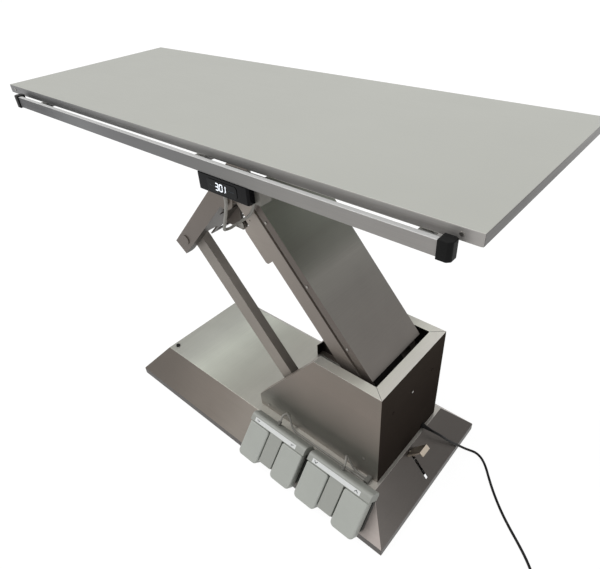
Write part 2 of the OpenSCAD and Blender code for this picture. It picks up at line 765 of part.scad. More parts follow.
module swept(p, r, sides, up) {
  n = len(p);
  points = [for (i = [0:n - 1]) each ring_at(p, i, r, sides, up)];
  walls = [for (i = [0:n - 2], j = [0:sides - 1], half = [0, 1])
    let (a = i*sides + j, b = i*sides + (j + 1)%sides)
    half == 0 ? [a, b, b + sides] : [a, b + sides, a + sides]];
  first = [for (j = [1:sides - 2]) [0, j + 1, j]];
  last = [for (j = [1:sides - 2]) (n - 1)*sides*[1, 1, 1] + [0, j, j + 1]];
  polyhedron(points=points, faces=concat(walls, first, last));
}

cord_path = smooth_path(cord_route, 2);
ctrl_path = smooth_path(ctrl_route, 2);
left_path = smooth_path(left_route, 2);
right_path = smooth_path(right_route, 2);

module cord_tube() black() swept(cord_path, cord_d/2, 10, [0, 0, 1]);

module controller_cable() cable_grey() swept(ctrl_path, cord_d/2, 10, [1, -0.9, 0]);

module lead_left() cable_grey() swept(left_path, lead_d/2, 8, [0, -1, 0.3]);

module lead_right() cable_grey() swept(right_path, lead_d/2, 8, [0, -1, 0.3]);

// Coil: loops spiral in on the floor, climb in the half turn where the spiral reverses, and spiral out
coil_turns = 2*coil_loops;
loop_rings = 24;
lead_in = 2;
function climb(t) = let (s = min(max((t - coil_loops)*2 + 0.5, 0), 1)) s*s*(3 - 2*s);
function coil_point(t) =
  let (r = coil_r - coil_step*(coil_loops - abs(coil_loops - t)), a = 180 + 360*t)
  [coil_x + r*cos(a), coil_y + r*sin(a), cord_d/2 + coil_rise*climb(t)];
coil_start = coil_point(0);
coil_end = coil_point(coil_turns);
coil_in = [for (j = [lead_in:-1:1]) coil_start + j*cord_d*[0, 1, 0]/lead_in];
out_r = 4.5*cord_d;
out_ang = 75;
coil_out = [for (j = [1:8]) coil_end + out_r*[cos(out_ang*j/8) - 1, -sin(out_ang*j/8), 0]];
plug_heading = [-sin(out_ang), -cos(out_ang), 0];
coil_path = concat(coil_in,
  [for (i = [0:coil_turns*loop_rings]) coil_point(i/loop_rings)], coil_out,
  [coil_out[7] + cord_d*plug_heading]);
coil_gap = min([for (i = [0:2:coil_turns*loop_rings], j = [i + 12:2:coil_turns*loop_rings])
  norm(coil_point(i/loop_rings) - coil_point(j/loop_rings))]) - cord_d;

module cord_coil() black() swept(coil_path, cord_d/2, 6, [0, 0, 1]);

plug_end = coil_path[len(coil_path) - 1];

module plug() black() translate(plug_end) rotate([90, 0, -out_ang]) {
  cylinder(r1=0.62*cord_d, r2=1.1*cord_d, h=3*cord_d);
  translate([0, 0, 3*cord_d]) linear_extrude(2.6*cord_d) soft_rect(
    [-2.6*cord_d, -plug_end[2]], [2.6*cord_d, plug_end[2]], 1.2*cord_d);
  for (s = [-1, 1]) translate([s*1.36*cord_d, 0, 5.6*cord_d])
    cylinder(r=0.34*cord_d, h=2.7*cord_d);
}

module cord_gland() black() translate([house_x1, cord_route[0][1], cord_route[0][2]])
  rotate([0, 90, 0]) cylinder(r=1.3*cord_d, h=gland_t);

module strain_relief() black() translate([house_x1 + gland_t, cord_route[0][1], cord_route[0][2]])
  rotate([0, 90, 0]) cylinder(r1=cord_d, r2=0.62*cord_d, h=cord_route[0][0] - gland_t - house_x1);

module lead_glands() black() {
  lead_end = left_route[len(left_route) - 1];
  box([lead_end[0], lead_end[1] - lead_d, deck_z],
    [lead_end[0] + 2*lead_d, -house_half, deck_z + 2*lead_d]);
  for (p = [left_route[0], right_route[0]]) on_slope(p[0])
    translate([0, 2*pad_side, 0.6*pad_hi]) rotate([-90, 0, 0])
      cylinder(r=0.9*lead_d, h=3*lead_d);
}

// Arm

module rail_tube() difference() {
  box([ear_end, -arm_half, -rail_lo], [arm_len + arm_over, -arm_half + rail_w, rail_hi]);
  box([ear_end + 2*tube_wall, -arm_half + tube_wall, -rail_lo + tube_wall],
    [arm_len - 2.4*arm_pin_r, -arm_half + rail_w - tube_wall, rail_hi - tube_wall]);
}

module ear() {
  box([0, -arm_half + ear_inset, -rail_lo], [ear_end + tiny, -arm_half + ear_inset + ear_w, rail_hi]);
  box([-arm_over + rail_lo, -arm_half + ear_inset, -rail_lo],
    [0, -arm_half + ear_inset + ear_w, rail_hi]);
  round_y(0, 0, rail_lo, -arm_half + ear_inset, -arm_half + ear_inset + ear_w);
}

module name_tab() translate([0, -arm_half + sheet, 0]) rotate([90, 0, 0]) linear_extrude(sheet)
  soft_rect([tab_u0, -rail_lo - tab_drop], [tab_u1, -rail_lo + tab_r], tab_r);

module arm_bore(r) {
  round_y(arm_len, 0, arm_pin_r + turn_fit, -leg_out, leg_out);
  round_y(0, 0, r, -leg_out, leg_out);
}

module arm_frame() steel() on_arm() difference() {
  union() {
    both_sides() {
      rail_tube();
      ear();
      box([cover_u0 + 2*sheet, -arm_half + 2.6*sheet, rail_hi - tiny],
        [cover_u1 - 2*sheet, -arm_half + 5.6*sheet, cover_hi - sheet]);
    }
    name_tab();
    for (u = [0.25, 0.58, 0.86]*arm_len)
      box([u, -arm_half + rail_w - tiny, -0.8*rail_lo],
        [u + 1.4*rail_w, arm_half - rail_w + tiny, 0.7*rail_hi]);
  }
  arm_bore(arm_pin_r + 4);
}

module arm_cover() steel() on_arm() {
  box([cover_u0, -arm_half, cover_hi - sheet], [cover_u1, arm_half, cover_hi]);
  both_sides() box([cover_u0, -arm_half, cover_lo], [cover_u1, -arm_half + sheet, cover_hi]);
}

module cover_screws() zinc() on_arm() both_sides()
  for (u = [0.167, 0.455, 0.743]*arm_len)
    round_y(u, (cover_lo + cover_hi)/2 - sheet, rivet_r, -arm_half - rivet_r/2, -arm_half);

module arm_bushes() bronze() on_arm() difference() {
  both_sides() {
    round_y(0, 0, arm_pin_r + 4, -arm_half + ear_inset, -arm_half + ear_inset + ear_w);
    round_y(0, 0, 1.5*arm_pin_r, -leg_out + leg_t + leg_flange + side_gap/2, -arm_half + ear_inset);
    round_y(arm_len, 0, 1.5*arm_pin_r, -cheek_y1 + plate + side_gap/4, -arm_half);
  }
  arm_bore(arm_pin_r + turn_fit);
}

module lift_drive() dark_steel() on_arm() difference() {
  union() {
    translate([tube_u0, act_y, -act_v]) rotate([0, 90, 0]) cylinder(r=tube_r, h=tube_u1 - tube_u0);
    box([tube_u1, act_y - tube_r, -act_v - tube_r], [tube_u1 + 3*tube_r, act_y + motor_r,
      -act_v + 2*tube_r]);
    translate([tube_u1, act_y + motor_r - tube_r, -act_v + motor_r - tube_r]) rotate([0, 90, 0])
      cylinder(r=motor_r, h=motor_u1 - tube_u1);
    for (u = [0.27, 0.6]*arm_len)
      box([u, act_y - plate, -act_v + rod_r + sheet], [u + rail_w, act_y + plate, -0.8*rail_lo]);
  }
  translate([tube_u0 - rail_w, act_y, -act_v]) rotate([0, 90, 0])
    cylinder(r=rod_r + turn_fit, h=tube_u1 - tube_u0 + rail_w);
}

fork_half = lift_pin_r + fork_play + 0.8*lift_pin_r;
slot_up = 2.5*lift_pin_r;
slot_down = 2.2*lift_pin_r;

module lift_rod() zinc() on_arm() {
  translate([lift_u + lift_pin_r + fork_play, act_y, -act_v]) rotate([0, 90, 0])
    cylinder(r=rod_r, h=rod_len);
  difference() {
    translate([0, act_y + lift_pin_r, 0]) rotate([90, 0, 0]) linear_extrude(2*lift_pin_r)
      polygon([
        [lift_u - fork_half + lift_pin_r, -act_v + slot_up + 0.8*lift_pin_r],
        [lift_u + fork_half, -act_v + slot_up + 0.8*lift_pin_r],
        [lift_u + fork_half, -act_v - slot_down - 0.7*lift_pin_r],
        [lift_u - fork_half + lift_pin_r, -act_v - slot_down - 0.7*lift_pin_r],
        [lift_u - fork_half, -act_v - slot_down + 0.3*lift_pin_r],
        [lift_u - fork_half, -act_v + slot_up - 0.2*lift_pin_r]
      ]);
    slab_y([
      [lift_u - lift_pin_r - fork_play, -act_v + slot_up],
      [lift_u + lift_pin_r + fork_play, -act_v + slot_up],
      [lift_u + lift_pin_r + fork_play, -act_v - slot_down],
      [lift_u - lift_pin_r - fork_play, -act_v - slot_down]
    ], act_y - 2*lift_pin_r, act_y + 2*lift_pin_r);
  }
}

// Links

module link() steel() on_link() difference() {
  union() {
    box([0, -link_out, -link_half], [arm_len, -link_out + link_w, link_half]);
    round_y(0, 0, link_half, -link_out, -link_out + link_w);
    round_y(arm_len, 0, link_half, -link_out, -link_out + link_w);
  }
  box([1.6*link_half, -link_out + tube_wall, -link_half + tube_wall],
    [arm_len - 1.6*link_half, -link_out + link_w - tube_wall, link_half - tube_wall]);
  for (u = [0, arm_len]) round_y(u, 0, link_pin_r + turn_fit, -leg_out, 0);
}

module link_front() link();

module link_back() mirror([0, 1, 0]) link();

// Head, drawn along a leg: x up the leg, z across it to the left

module leg() {
  slab_y([[0, 0], [leg_len, 0], [leg_len, leg_w], [-leg_t, leg_w]], -leg_out, -leg_out + leg_t);
  round_y(leg_len, leg_w/2, leg_w/2, -leg_out, -leg_out + leg_t);
  round_y(knee_t, knee_n, 2*arm_pin_r, -leg_out, -leg_out + leg_t);
  round_y(knee_t, knee_n, 1.6*arm_pin_r, -leg_out, -leg_out + leg_t + leg_flange);
  round_y(bend_t, bend_n, 1.7*link_pin_r, -leg_out, -link_out - side_gap);
  linear_extrude(leg_t) {
    translate([leg_flange/2, -leg_out]) square([knee_t - leg_flange/2, leg_flange]);
    translate([0, -leg_out]) square([leg_flange, leg_flange/2]);
    translate([leg_flange/2, -leg_out + leg_flange/2]) circle(leg_flange/2);
  }
}

module web() linear_extrude(leg_t) difference() {
  union() {
    translate([web_t0, -web_half]) square([web_t1 - web_t0, 2*web_half]);
    translate([web_t0 + 2*leg_flange, -leg_out + leg_t])
      square([web_t1 - web_t0 - 2*leg_flange, 2*(leg_out - leg_t)]);
  }
  for (s = [-1, 1]) polygon([
    [web_t0 + 0.16*web_half, s*0.84*web_half], [web_t0 + 0.16*web_half, s*0.12*web_half],
    [web_t0 + 1.3*web_half, s*0.12*web_half], [web_t0 + 1.1*web_half, s*0.5*web_half]
  ]);
}

module lug() difference() {
  union() {
    slab_y([
      [lift_t - 3.6*lug_r, leg_t/2], [lift_t + 2.6*lug_r, leg_t/2],
      [lift_t + 0.8*lug_r, lift_n + 0.6*lug_r], [lift_t - 0.8*lug_r, lift_n - 0.6*lug_r]
    ], -lug_y - lug_t, -lug_y);
    round_y(lift_t, lift_n, lug_r, -lug_y - lug_t, -lug_y);
  }
  round_y(lift_t, lift_n, lift_pin_r, -leg_out, leg_out);
}

module tilt_lug() difference() {
  union() {
    slab_y([
      [low_t - 1.5*eye_r, leg_t/2], [low_t + 1.5*eye_r, leg_t/2],
      [low_t + eye_r, low_n], [low_t - eye_r, low_n]
    ], -tilt_tube_r - side_gap - plate, -tilt_tube_r - side_gap);
    round_y(low_t, low_n, eye_r, -tilt_tube_r - side_gap - plate, -tilt_tube_r - side_gap);
  }
  round_y(low_t, low_n, eye_pin_r, -leg_out, leg_out);
}

module head_frame() steel() on_leg() difference() {
  union() {
    both_sides() {
      leg();
      lug();
      tilt_lug();
    }
    web();
    box([web_t1 - leg_flange/2, -leg_out + leg_t, leg_t/2],
      [web_t1 + leg_flange/2, leg_out - leg_t, leg_flange]);
  }
  round_y(knee_t, knee_n, arm_pin_r, -leg_out - leg_t, leg_out + leg_t);
  round_y(bend_t, bend_n, link_pin_r, -leg_out - leg_t, leg_out + leg_t);
  round_y(leg_len, leg_w/2, tilt_r, -leg_out - leg_t, leg_out + leg_t);
}

module head_pins() zinc() both_sides() {
  headed_pin(up_x, up_z, arm_pin_r, arm_half - ear_inset - ear_w, leg_out);
  headed_pin(link_up_x, link_up_z, link_pin_r, link_out - link_w, leg_out);
}

module lift_pin() zinc() {
  round_y(up_x - lift_dx, up_z - lift_dz, lift_pin_r, -lug_y - lug_t, lug_y + lug_t);
  both_sides() round_y(up_x - lift_dx, up_z - lift_dz, 1.15*lift_pin_r,
    -lug_y - 1.5*lug_t, -lug_y - lug_t);
}

module tilt_shaft() zinc() {
  round_y(tilt_x, tilt_z, tilt_r, -leg_out, leg_out);
  both_sides() round_y(tilt_x, tilt_z, 1.4*tilt_r, -leg_out - 0.4*tilt_r, -leg_out);
}

module tilt_pin() zinc() {
  y1 = tilt_tube_r + side_gap + plate;
  round_y(tilt_low_x, tilt_low_z, eye_pin_r, -y1, y1);
  both_sides() round_y(tilt_low_x, tilt_low_z, 1.5*eye_pin_r, -y1 - 0.6*eye_pin_r, -y1);
}

// Tilt drive, drawn along its axis

tilt_body = 0.69*tilt_len;

module tilt_drive() dark_steel() on_tilt() difference() {
  union() {
    round_y(0, 0, eye_r, -tilt_tube_r, tilt_tube_r);
    box([0, -tilt_tube_r, -eye_r], [2.4*eye_r, tilt_tube_r, eye_r]);
    box([2*eye_r, -tilt_tube_r, -1.2*tilt_tube_r], [5.2*eye_r, tilt_tube_r, 1.2*tilt_tube_r]);
    translate([5*eye_r, 0, 0]) rotate([0, 90, 0]) cylinder(r=tilt_tube_r, h=tilt_body - 5*eye_r);
    translate([2*eye_r, tilt_tube_r + 0.6*eye_r, 0]) rotate([0, 90, 0])
      cylinder(r=1.1*tilt_tube_r, h=0.34*tilt_len);
  }
  round_y(0, 0, eye_pin_r + turn_fit, -leg_out, leg_out);
  translate([5.4*eye_r, 0, 0]) rotate([0, 90, 0]) cylinder(r=tilt_rod_r + turn_fit, h=tilt_len);
}

module tilt_rod() zinc() {
  on_tilt() {
    translate([0.47*tilt_len, 0, 0]) rotate([0, 90, 0])
      cylinder(r=tilt_rod_r, h=0.53*tilt_len - 0.8*eye_r);
    round_y(tilt_len, 0, eye_r, -tilt_rod_r, tilt_rod_r);
  }
  round_y(tilt_up_x, tilt_up_z, eye_pin_r,
    -tilt_tube_r - side_gap - 1.4*plate, tilt_tube_r + side_gap + 1.4*plate);
}

// Top

module frame_tube(x0, x1, y0, y1) difference() {
  box([x0, y0, frame_z0], [x1, y1, frame_z1]);
  along = x1 - x0 > y1 - y0 ? [1, 0, 0] : [0, 1, 0];
  box([x0, y0, frame_z0] + tube_wall*([1, 1, 1] - 2*along),
    [x1, y1, frame_z1] - tube_wall*([1, 1, 1] - 2*along));
}

module top_frame() steel() difference() {
  union() {
    both_sides() frame_tube(frame_x0, frame_x1, -frame_half, -frame_half + frame_w);
    for (x = [frame_x0, frame_x1 - frame_w])
      frame_tube(x, x + frame_w, -frame_half + frame_w, frame_half - frame_w);
    both_sides() {
      box([tilt_x - 1.6*tilt_r, -frame_half - plate, tilt_z - 1.6*tilt_r],
        [tilt_x + 1.6*tilt_r, -frame_half, frame_z1]);
      box([tilt_x - 1.6*tilt_r, -frame_half, frame_z0],
        [tilt_x + 1.6*tilt_r, -frame_half + frame_w, frame_z1]);
      box([tilt_up_x - 1.4*eye_r, -frame_half + frame_w, frame_z1 - 4*tiny],
        [tilt_up_x + 1.4*eye_r, frame_half - frame_w, pan_bot - side_gap]);
      box([tilt_up_x - eye_r, -tilt_tube_r - side_gap - plate, tilt_up_z - eye_r],
        [tilt_up_x + eye_r, -tilt_tube_r - side_gap, pan_bot - side_gap]);
    }
  }
  round_y(tilt_x, tilt_z, tilt_r + turn_fit, -leg_out, leg_out);
  box([tilt_up_x - eye_pin_r - tilt_play, -leg_out, tilt_up_z - eye_pin_r - 0.4*side_gap],
    [tilt_up_x + eye_pin_r + tilt_play, leg_out, tilt_up_z + eye_pin_r + 1.3*side_gap]);
}

cross_x = [bar_x0 + 2.25*cross_w, tilt_x - cross_w/2, bar_x1 - 1.55*cross_w];

module cross_bars() steel() for (x = cross_x)
  box([x, -bar_face + bar_t, frame_z1], [x + cross_w, bar_face - bar_t, pan_bot]);

module side_rails() steel() both_sides() box([bar_x0, -bar_face, bar_z],
  [bar_x1, -bar_face + bar_t, bar_z + bar_h]);

module rail_cap(s) {
  e = cap_len/4;
  translate([0, 0, bar_z - e/2]) linear_extrude(bar_h + e) polygon([
    [0, -bar_face - e/2], [s*(cap_len - e), -bar_face - e/2], [s*cap_len, -bar_face + e/2],
    [s*cap_len, -bar_face + cap_dep - e/2], [s*(cap_len - e), -bar_face + cap_dep],
    [0, -bar_face + cap_dep]
  ]);
}

module rail_caps() black() both_sides() {
  translate([bar_x0, 0, 0]) rail_cap(-1);
  translate([bar_x1, 0, 0]) rail_cap(1);
}

module tabletop() steel() difference() {
  box([top_x - top_len/2, -top_dep/2, pan_bot], [top_x + top_len/2, top_dep/2, top_z]);
  box([top_x - top_len/2 + sheet, -top_dep/2 + sheet, pan_bot + sheet],
    [top_x + top_len/2 - sheet, top_dep/2 - sheet, top_z - sheet]);
  box([top_x - top_len/2 + hem_w, -top_dep/2 + hem_w, pan_bot - sheet],
    [top_x + top_len/2 - hem_w, top_dep/2 - hem_w, top_z - sheet]);
}

mat_inset = 2*hem_w;

module heating_mat() color([0.75, 0.35, 0.15]) box(
  [top_x - top_len/2 + mat_inset, -top_dep/2 + mat_inset, top_z - sheet - mat_t],
  [top_x + top_len/2 - mat_inset, top_dep/2 - mat_inset, top_z - sheet]);

module insulation() white() box(
  [top_x - top_len/2 + sheet + side_gap, -top_dep/2 + sheet + side_gap, pan_bot + sheet],
  [top_x + top_len/2 - sheet - side_gap, top_dep/2 - sheet - side_gap, top_z - sheet - mat_t]);

module pan_rivets() zinc() both_sides() for (s = [-1, 1])
  round_y(top_x + s*(top_len/2 - 2*hem_w), top_z - 0.4*skirt_h, rivet_r,
    -top_dep/2 - rivet_r/3, -top_dep/2);

// Controller under the front rail

module controller() black() translate([0, 0, bar_z - ctrl_h]) linear_extrude(ctrl_h)
  soft_rect([ctrl_x0, -ctrl_face], [ctrl_x0 + ctrl_len, -ctrl_face + ctrl_dep], ctrl_r);

module controller_window() color([0.02, 0.02, 0.03])
  translate([ctrl_x0 + (ctrl_len - glass_len)/2, -ctrl_face, bar_z - ctrl_h/2]) rotate([90, 0, 0])
    linear_extrude(glass_t) soft_rect([0, -glass_h/2], [glass_len, glass_h/2], 1.5*ctrl_r);

module controller_holder() steel() {
  box([ctrl_x0 + 2*strap_w, -bar_face + bar_t, bar_z],
    [ctrl_x0 + ctrl_len + strap_w, -bar_face + bar_t + strap_t, bar_z + 0.8*bar_h]);
  box([ctrl_x0 + 2*strap_w, -bar_face + bar_t, bar_z],
    [ctrl_x0 + ctrl_len + strap_w, -ctrl_face + ctrl_dep, bar_z + strap_t]);
  box([ctrl_x0 + ctrl_len, -bar_face + bar_t + strap_t, bar_z - ctrl_h - strap_t/2],
    [ctrl_x0 + ctrl_len + strap_w, -ctrl_face + ctrl_dep - 2*strap_t, bar_z + strap_t/2]);
}

echo(str("power cord free length mm ", path_len(cord_path)));
echo(str("power cord coil length mm ", sum_steps(coil_path, len(coil_path) - 1)));
echo(str("coil least gap mm ", coil_gap));
echo(str("controller cable length mm ", path_len(ctrl_path)));
echo(str("left pedal cable length mm ", path_len(left_path)));
echo(str("right pedal cable length mm ", path_len(right_path)));
echo(str("tilt shaft at ", tilt_x, " ", tilt_z, " arm angle ", arm_ang, " arm length ", arm_len));
echo(str("lift pin u v ", lift_u, " ", lift_v, " coil ends ", coil_path[0], " ", plug_end));

// One node, or all of them, moved from the plinth's middle to the part's origin
module place(name) translate([-top_x, 0, 0]) children();

place("base_cover") base_cover();
place("base_frame") base_frame();
place("foot_pads") foot_pads();
place("foot_studs") foot_studs();
place("housing") housing();
place("housing_rivets") housing_rivets();
place("deck_plug") deck_plug();
place("pedestal") pedestal();
place("base_pins") base_pins();
place("control_box") control_box();
place("shaft_bearings") shaft_bearings();
place("cord_gland") cord_gland();
place("strain_relief") strain_relief();
place("cord_tube") cord_tube();
place("cord_coil") cord_coil();
place("plug") plug();
place("pedal_case_left") pedal_case_left();
place("pedal_case_right") pedal_case_right();
place("pedal_labels") pedal_labels();
place("pedal_contacts") pedal_contacts();
place("hinge_pins") hinge_pins();
place("pad_tilt_left") pad_tilt_left();
place("pad_tilt_right") pad_tilt_right();
place("pad_down") pad_down();
place("pad_up") pad_up();
place("lead_glands") lead_glands();
place("lead_left") lead_left();
place("lead_right") lead_right();
place("foot_lever") foot_lever();
place("roller_shaft") roller_shaft();
place("roller_front") roller_front();
place("roller_back") roller_back();
place("arm_frame") arm_frame();
place("arm_cover") arm_cover();
place("cover_screws") cover_screws();
place("arm_bushes") arm_bushes();
place("lift_drive") lift_drive();
place("lift_rod") lift_rod();
place("link_front") link_front();
place("link_back") link_back();
place("head_frame") head_frame();
place("head_pins") head_pins();
place("lift_pin") lift_pin();
place("tilt_shaft") tilt_shaft();
place("tilt_pin") tilt_pin();
place("controller_cable") controller_cable();
place("tilt_drive") tilt_drive();
place("tilt_rod") tilt_rod();
place("top_frame") top_frame();
place("cross_bars") cross_bars();
place("side_rails") side_rails();
place("rail_caps") rail_caps();
place("tabletop") tabletop();
place("heating_mat") heating_mat();
place("insulation") insulation();
place("pan_rivets") pan_rivets();
place("controller") controller();
place("controller_window") controller_window();
place("controller_holder") controller_holder();
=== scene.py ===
# Looks of a veterinary exam table with a lift arm and a tilting, heated top.
# Metres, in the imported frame: +X along the base to the column end, +Y away from the pedals, +Z up.
import math
import bmesh
import bpy
from mathutils import Matrix, Vector


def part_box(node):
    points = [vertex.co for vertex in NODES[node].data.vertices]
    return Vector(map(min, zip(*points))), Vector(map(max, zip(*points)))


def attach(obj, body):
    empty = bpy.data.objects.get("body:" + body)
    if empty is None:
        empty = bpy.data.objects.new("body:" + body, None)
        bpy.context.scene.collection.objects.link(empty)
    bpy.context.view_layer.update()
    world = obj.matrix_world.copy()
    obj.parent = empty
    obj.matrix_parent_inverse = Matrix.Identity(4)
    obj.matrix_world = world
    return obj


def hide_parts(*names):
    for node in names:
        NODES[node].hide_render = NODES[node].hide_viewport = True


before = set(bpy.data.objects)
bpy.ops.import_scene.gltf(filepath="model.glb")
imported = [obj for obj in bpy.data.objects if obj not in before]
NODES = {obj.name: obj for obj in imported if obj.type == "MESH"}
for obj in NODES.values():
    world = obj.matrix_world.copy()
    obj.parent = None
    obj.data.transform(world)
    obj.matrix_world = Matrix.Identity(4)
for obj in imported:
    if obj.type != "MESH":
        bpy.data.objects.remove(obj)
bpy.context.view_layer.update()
MM = 0.001

# Camera at the photograph's place
CAMERA_AT = Vector((0.864, -0.7786, 1.2976))
AZIMUTH = math.radians(43.75)
ELEVATION = math.radians(36.39)
ROLL = math.radians(-4.14)
FOCAL_PX = 500
IMAGE_W = 600
SENSOR_MM = 36
CLIP_START = 0.05
CLIP_END = 60


def place_camera():
    back = Vector((math.sin(AZIMUTH)*math.cos(ELEVATION), -math.cos(AZIMUTH)*math.cos(ELEVATION),
                   math.sin(ELEVATION)))
    right = Vector((0, 0, 1)).cross(back).normalized()
    up = back.cross(right)
    c, s = math.cos(ROLL), math.sin(ROLL)
    rolled_right = c*right + s*up
    rolled_up = c*up - s*right
    data = bpy.data.cameras.new("camera")
    data.sensor_width = SENSOR_MM
    data.lens = FOCAL_PX*SENSOR_MM/IMAGE_W
    data.clip_start = CLIP_START
    data.clip_end = CLIP_END
    camera = bpy.data.objects.new("camera", data)
    bpy.context.scene.collection.objects.link(camera)
    turn = Matrix((rolled_right, rolled_up, back)).transposed().to_4x4()
    camera.matrix_world = Matrix.Translation(CAMERA_AT) @ turn
    bpy.context.scene.camera = camera


place_camera()


# Cords, on the routes of the CAD source, whose points count from the plinth's middle
PLINTH_AT = Vector((61, 0, 0))
CURVE_STEPS = 4


def smooth(points):
    """The CAD source's curve through its route points."""
    p = [(Vector(q) + PLINTH_AT)*MM for q in points]
    out = []
    for i in range(len(p) - 1):
        a, b, c, d = p[max(i - 1, 0)], p[i], p[i + 1], p[min(i + 2, len(p) - 1)]
        for j in range(CURVE_STEPS):
            t = j/CURVE_STEPS
            out.append(0.5*(2*b + (c - a)*t + (2*a - 5*b + 4*c - d)*t*t
                            + (3*b - a - 3*c + d)*t*t*t))
    return out + [p[-1]]


def cord_curve(name, points, diameter):
    data = bpy.data.curves.new(name, "CURVE")
    data.dimensions = "3D"
    spline = data.splines.new("POLY")
    spline.points.add(len(points) - 1)
    for point, place in zip(spline.points, points):
        point.co = (*place, 1)
    data.bevel_depth = diameter/2
    data.bevel_resolution = 5
    data.use_fill_caps = True
    piece = bpy.data.objects.new(name, data)
    bpy.context.scene.collection.objects.link(piece)
    return piece


CORD_D = 0.007
LEAD_D = 0.0055
CORD_ROUTE = [
    (447, 75, 128), (453, 75, 128), (459, 76, 127), (468, 81, 121), (476, 88, 111), (483, 98, 96),
    (490, 110, 79), (497, 124, 61), (504, 138, 44), (512, 151, 28), (522, 163, 14), (534, 172, 6),
    (549, 176, 4), (565, 172, 4), (580, 162, 4), (595, 147, 4), (612, 126, 4), (632, 102, 4),
    (656, 76, 4), (684, 49, 4), (714, 24, 4), (744, 1, 4), (770, -20, 4), (793, -42, 4),
    (810, -64, 4), (817, -84, 3.5), (818, -97, 3.5), (818, -104, 3.5), (818, -111, 3.5)]
CONTROL_ROUTE = [
    (112, -242, 903), (112, -242, 897), (110, -241, 889), (102, -236, 872), (88, -225, 850),
    (66, -212, 820), (42, -199, 786), (18, -186, 754), (2, -175, 737), (-5, -164, 730),
    (-5, -152, 728), (-2, -140, 731), (4, -128, 736), (12, -120, 743), (24, -117, 753),
    (36, -115, 768), (44, -115, 790), (46, -115, 820), (43, -115, 850), (40, -115, 880),
    (39, -115, 892), (39, -115, 899), (39, -115, 905)]
LEFT_ROUTE = [
    (112, -177, 150), (112, -173, 155), (111, -166, 161), (113, -159, 164), (117, -153, 163),
    (123, -152, 156), (129, -154, 146), (135, -157, 135), (143, -160, 126), (156, -161, 121),
    (180, -161, 120), (220, -161, 120), (260, -161, 120), (300, -161, 120), (340, -161, 120),
    (370, -161, 120), (392, -161, 120)]
RIGHT_ROUTE = [
    (338, -177, 150), (338, -173, 155), (335, -166, 161), (331, -159, 163), (330, -154, 159),
    (333, -152, 151), (338, -152, 142), (345, -153, 132), (354, -153, 124), (366, -153, 120),
    (379, -153, 120), (392, -153, 120)]
# The coil winds in on the floor and out again on top, and then bends towards the plug
COIL_LOOPS = 4
COIL_R = 0.056
COIL_STEP = 0.0077
COIL_RISE = 0.0076
COIL_RINGS = 48
OUT_R = 4.5*CORD_D
OUT_ANGLE = math.radians(75)
OUT_STEPS = 8


def coil_point(t):
    """A point of the coil after t loops: in on the floor, up in half a loop, and out again."""
    end = (Vector(CORD_ROUTE[-1]) + PLINTH_AT)*MM
    s = min(max((t - COIL_LOOPS)*2 + 0.5, 0), 1)
    rise = s*s*(3 - 2*s)
    r = COIL_R - COIL_STEP*(COIL_LOOPS - abs(COIL_LOOPS - t))
    a = math.pi + 2*math.pi*t
    return Vector((end.x + COIL_R + r*math.cos(a), end.y - CORD_D + r*math.sin(a),
                   CORD_D/2 + COIL_RISE*rise))


def power_cord_path():
    free = smooth(CORD_ROUTE)
    loops = [coil_point(i/COIL_RINGS) for i in range(2*COIL_LOOPS*COIL_RINGS + 1)]
    out = []
    for j in range(1, OUT_STEPS + 1):
        turn = OUT_ANGLE*j/OUT_STEPS
        out.append(loops[-1] + OUT_R*Vector((math.cos(turn) - 1, -math.sin(turn), 0)))
    heading = Vector((-math.sin(OUT_ANGLE), -math.cos(OUT_ANGLE), 0))
    return free + loops + out + [out[-1] + CORD_D*heading]


# Materials

def tone(r, g, b):
    """Linear colour of a shade that is given in display values from 0 to 255."""
    out = []
    for v in (r/255, g/255, b/255):
        out.append(v/12.92 if v <= 0.04045 else ((v + 0.055)/1.055)**2.4)
    return (*out, 1)


NOISE_SPAN = (0.3, 0.7)


def math_node(tree, operation, *sources):
    """A node of arithmetic whose inputs are numbers or other nodes' outputs."""
    node = tree.nodes.new("ShaderNodeMath")
    node.operation = operation
    for socket, source in zip(node.inputs, sources):
        if isinstance(source, (int, float)):
            socket.default_value = source
        else:
            tree.links.new(source, socket)
    return node.outputs[0]


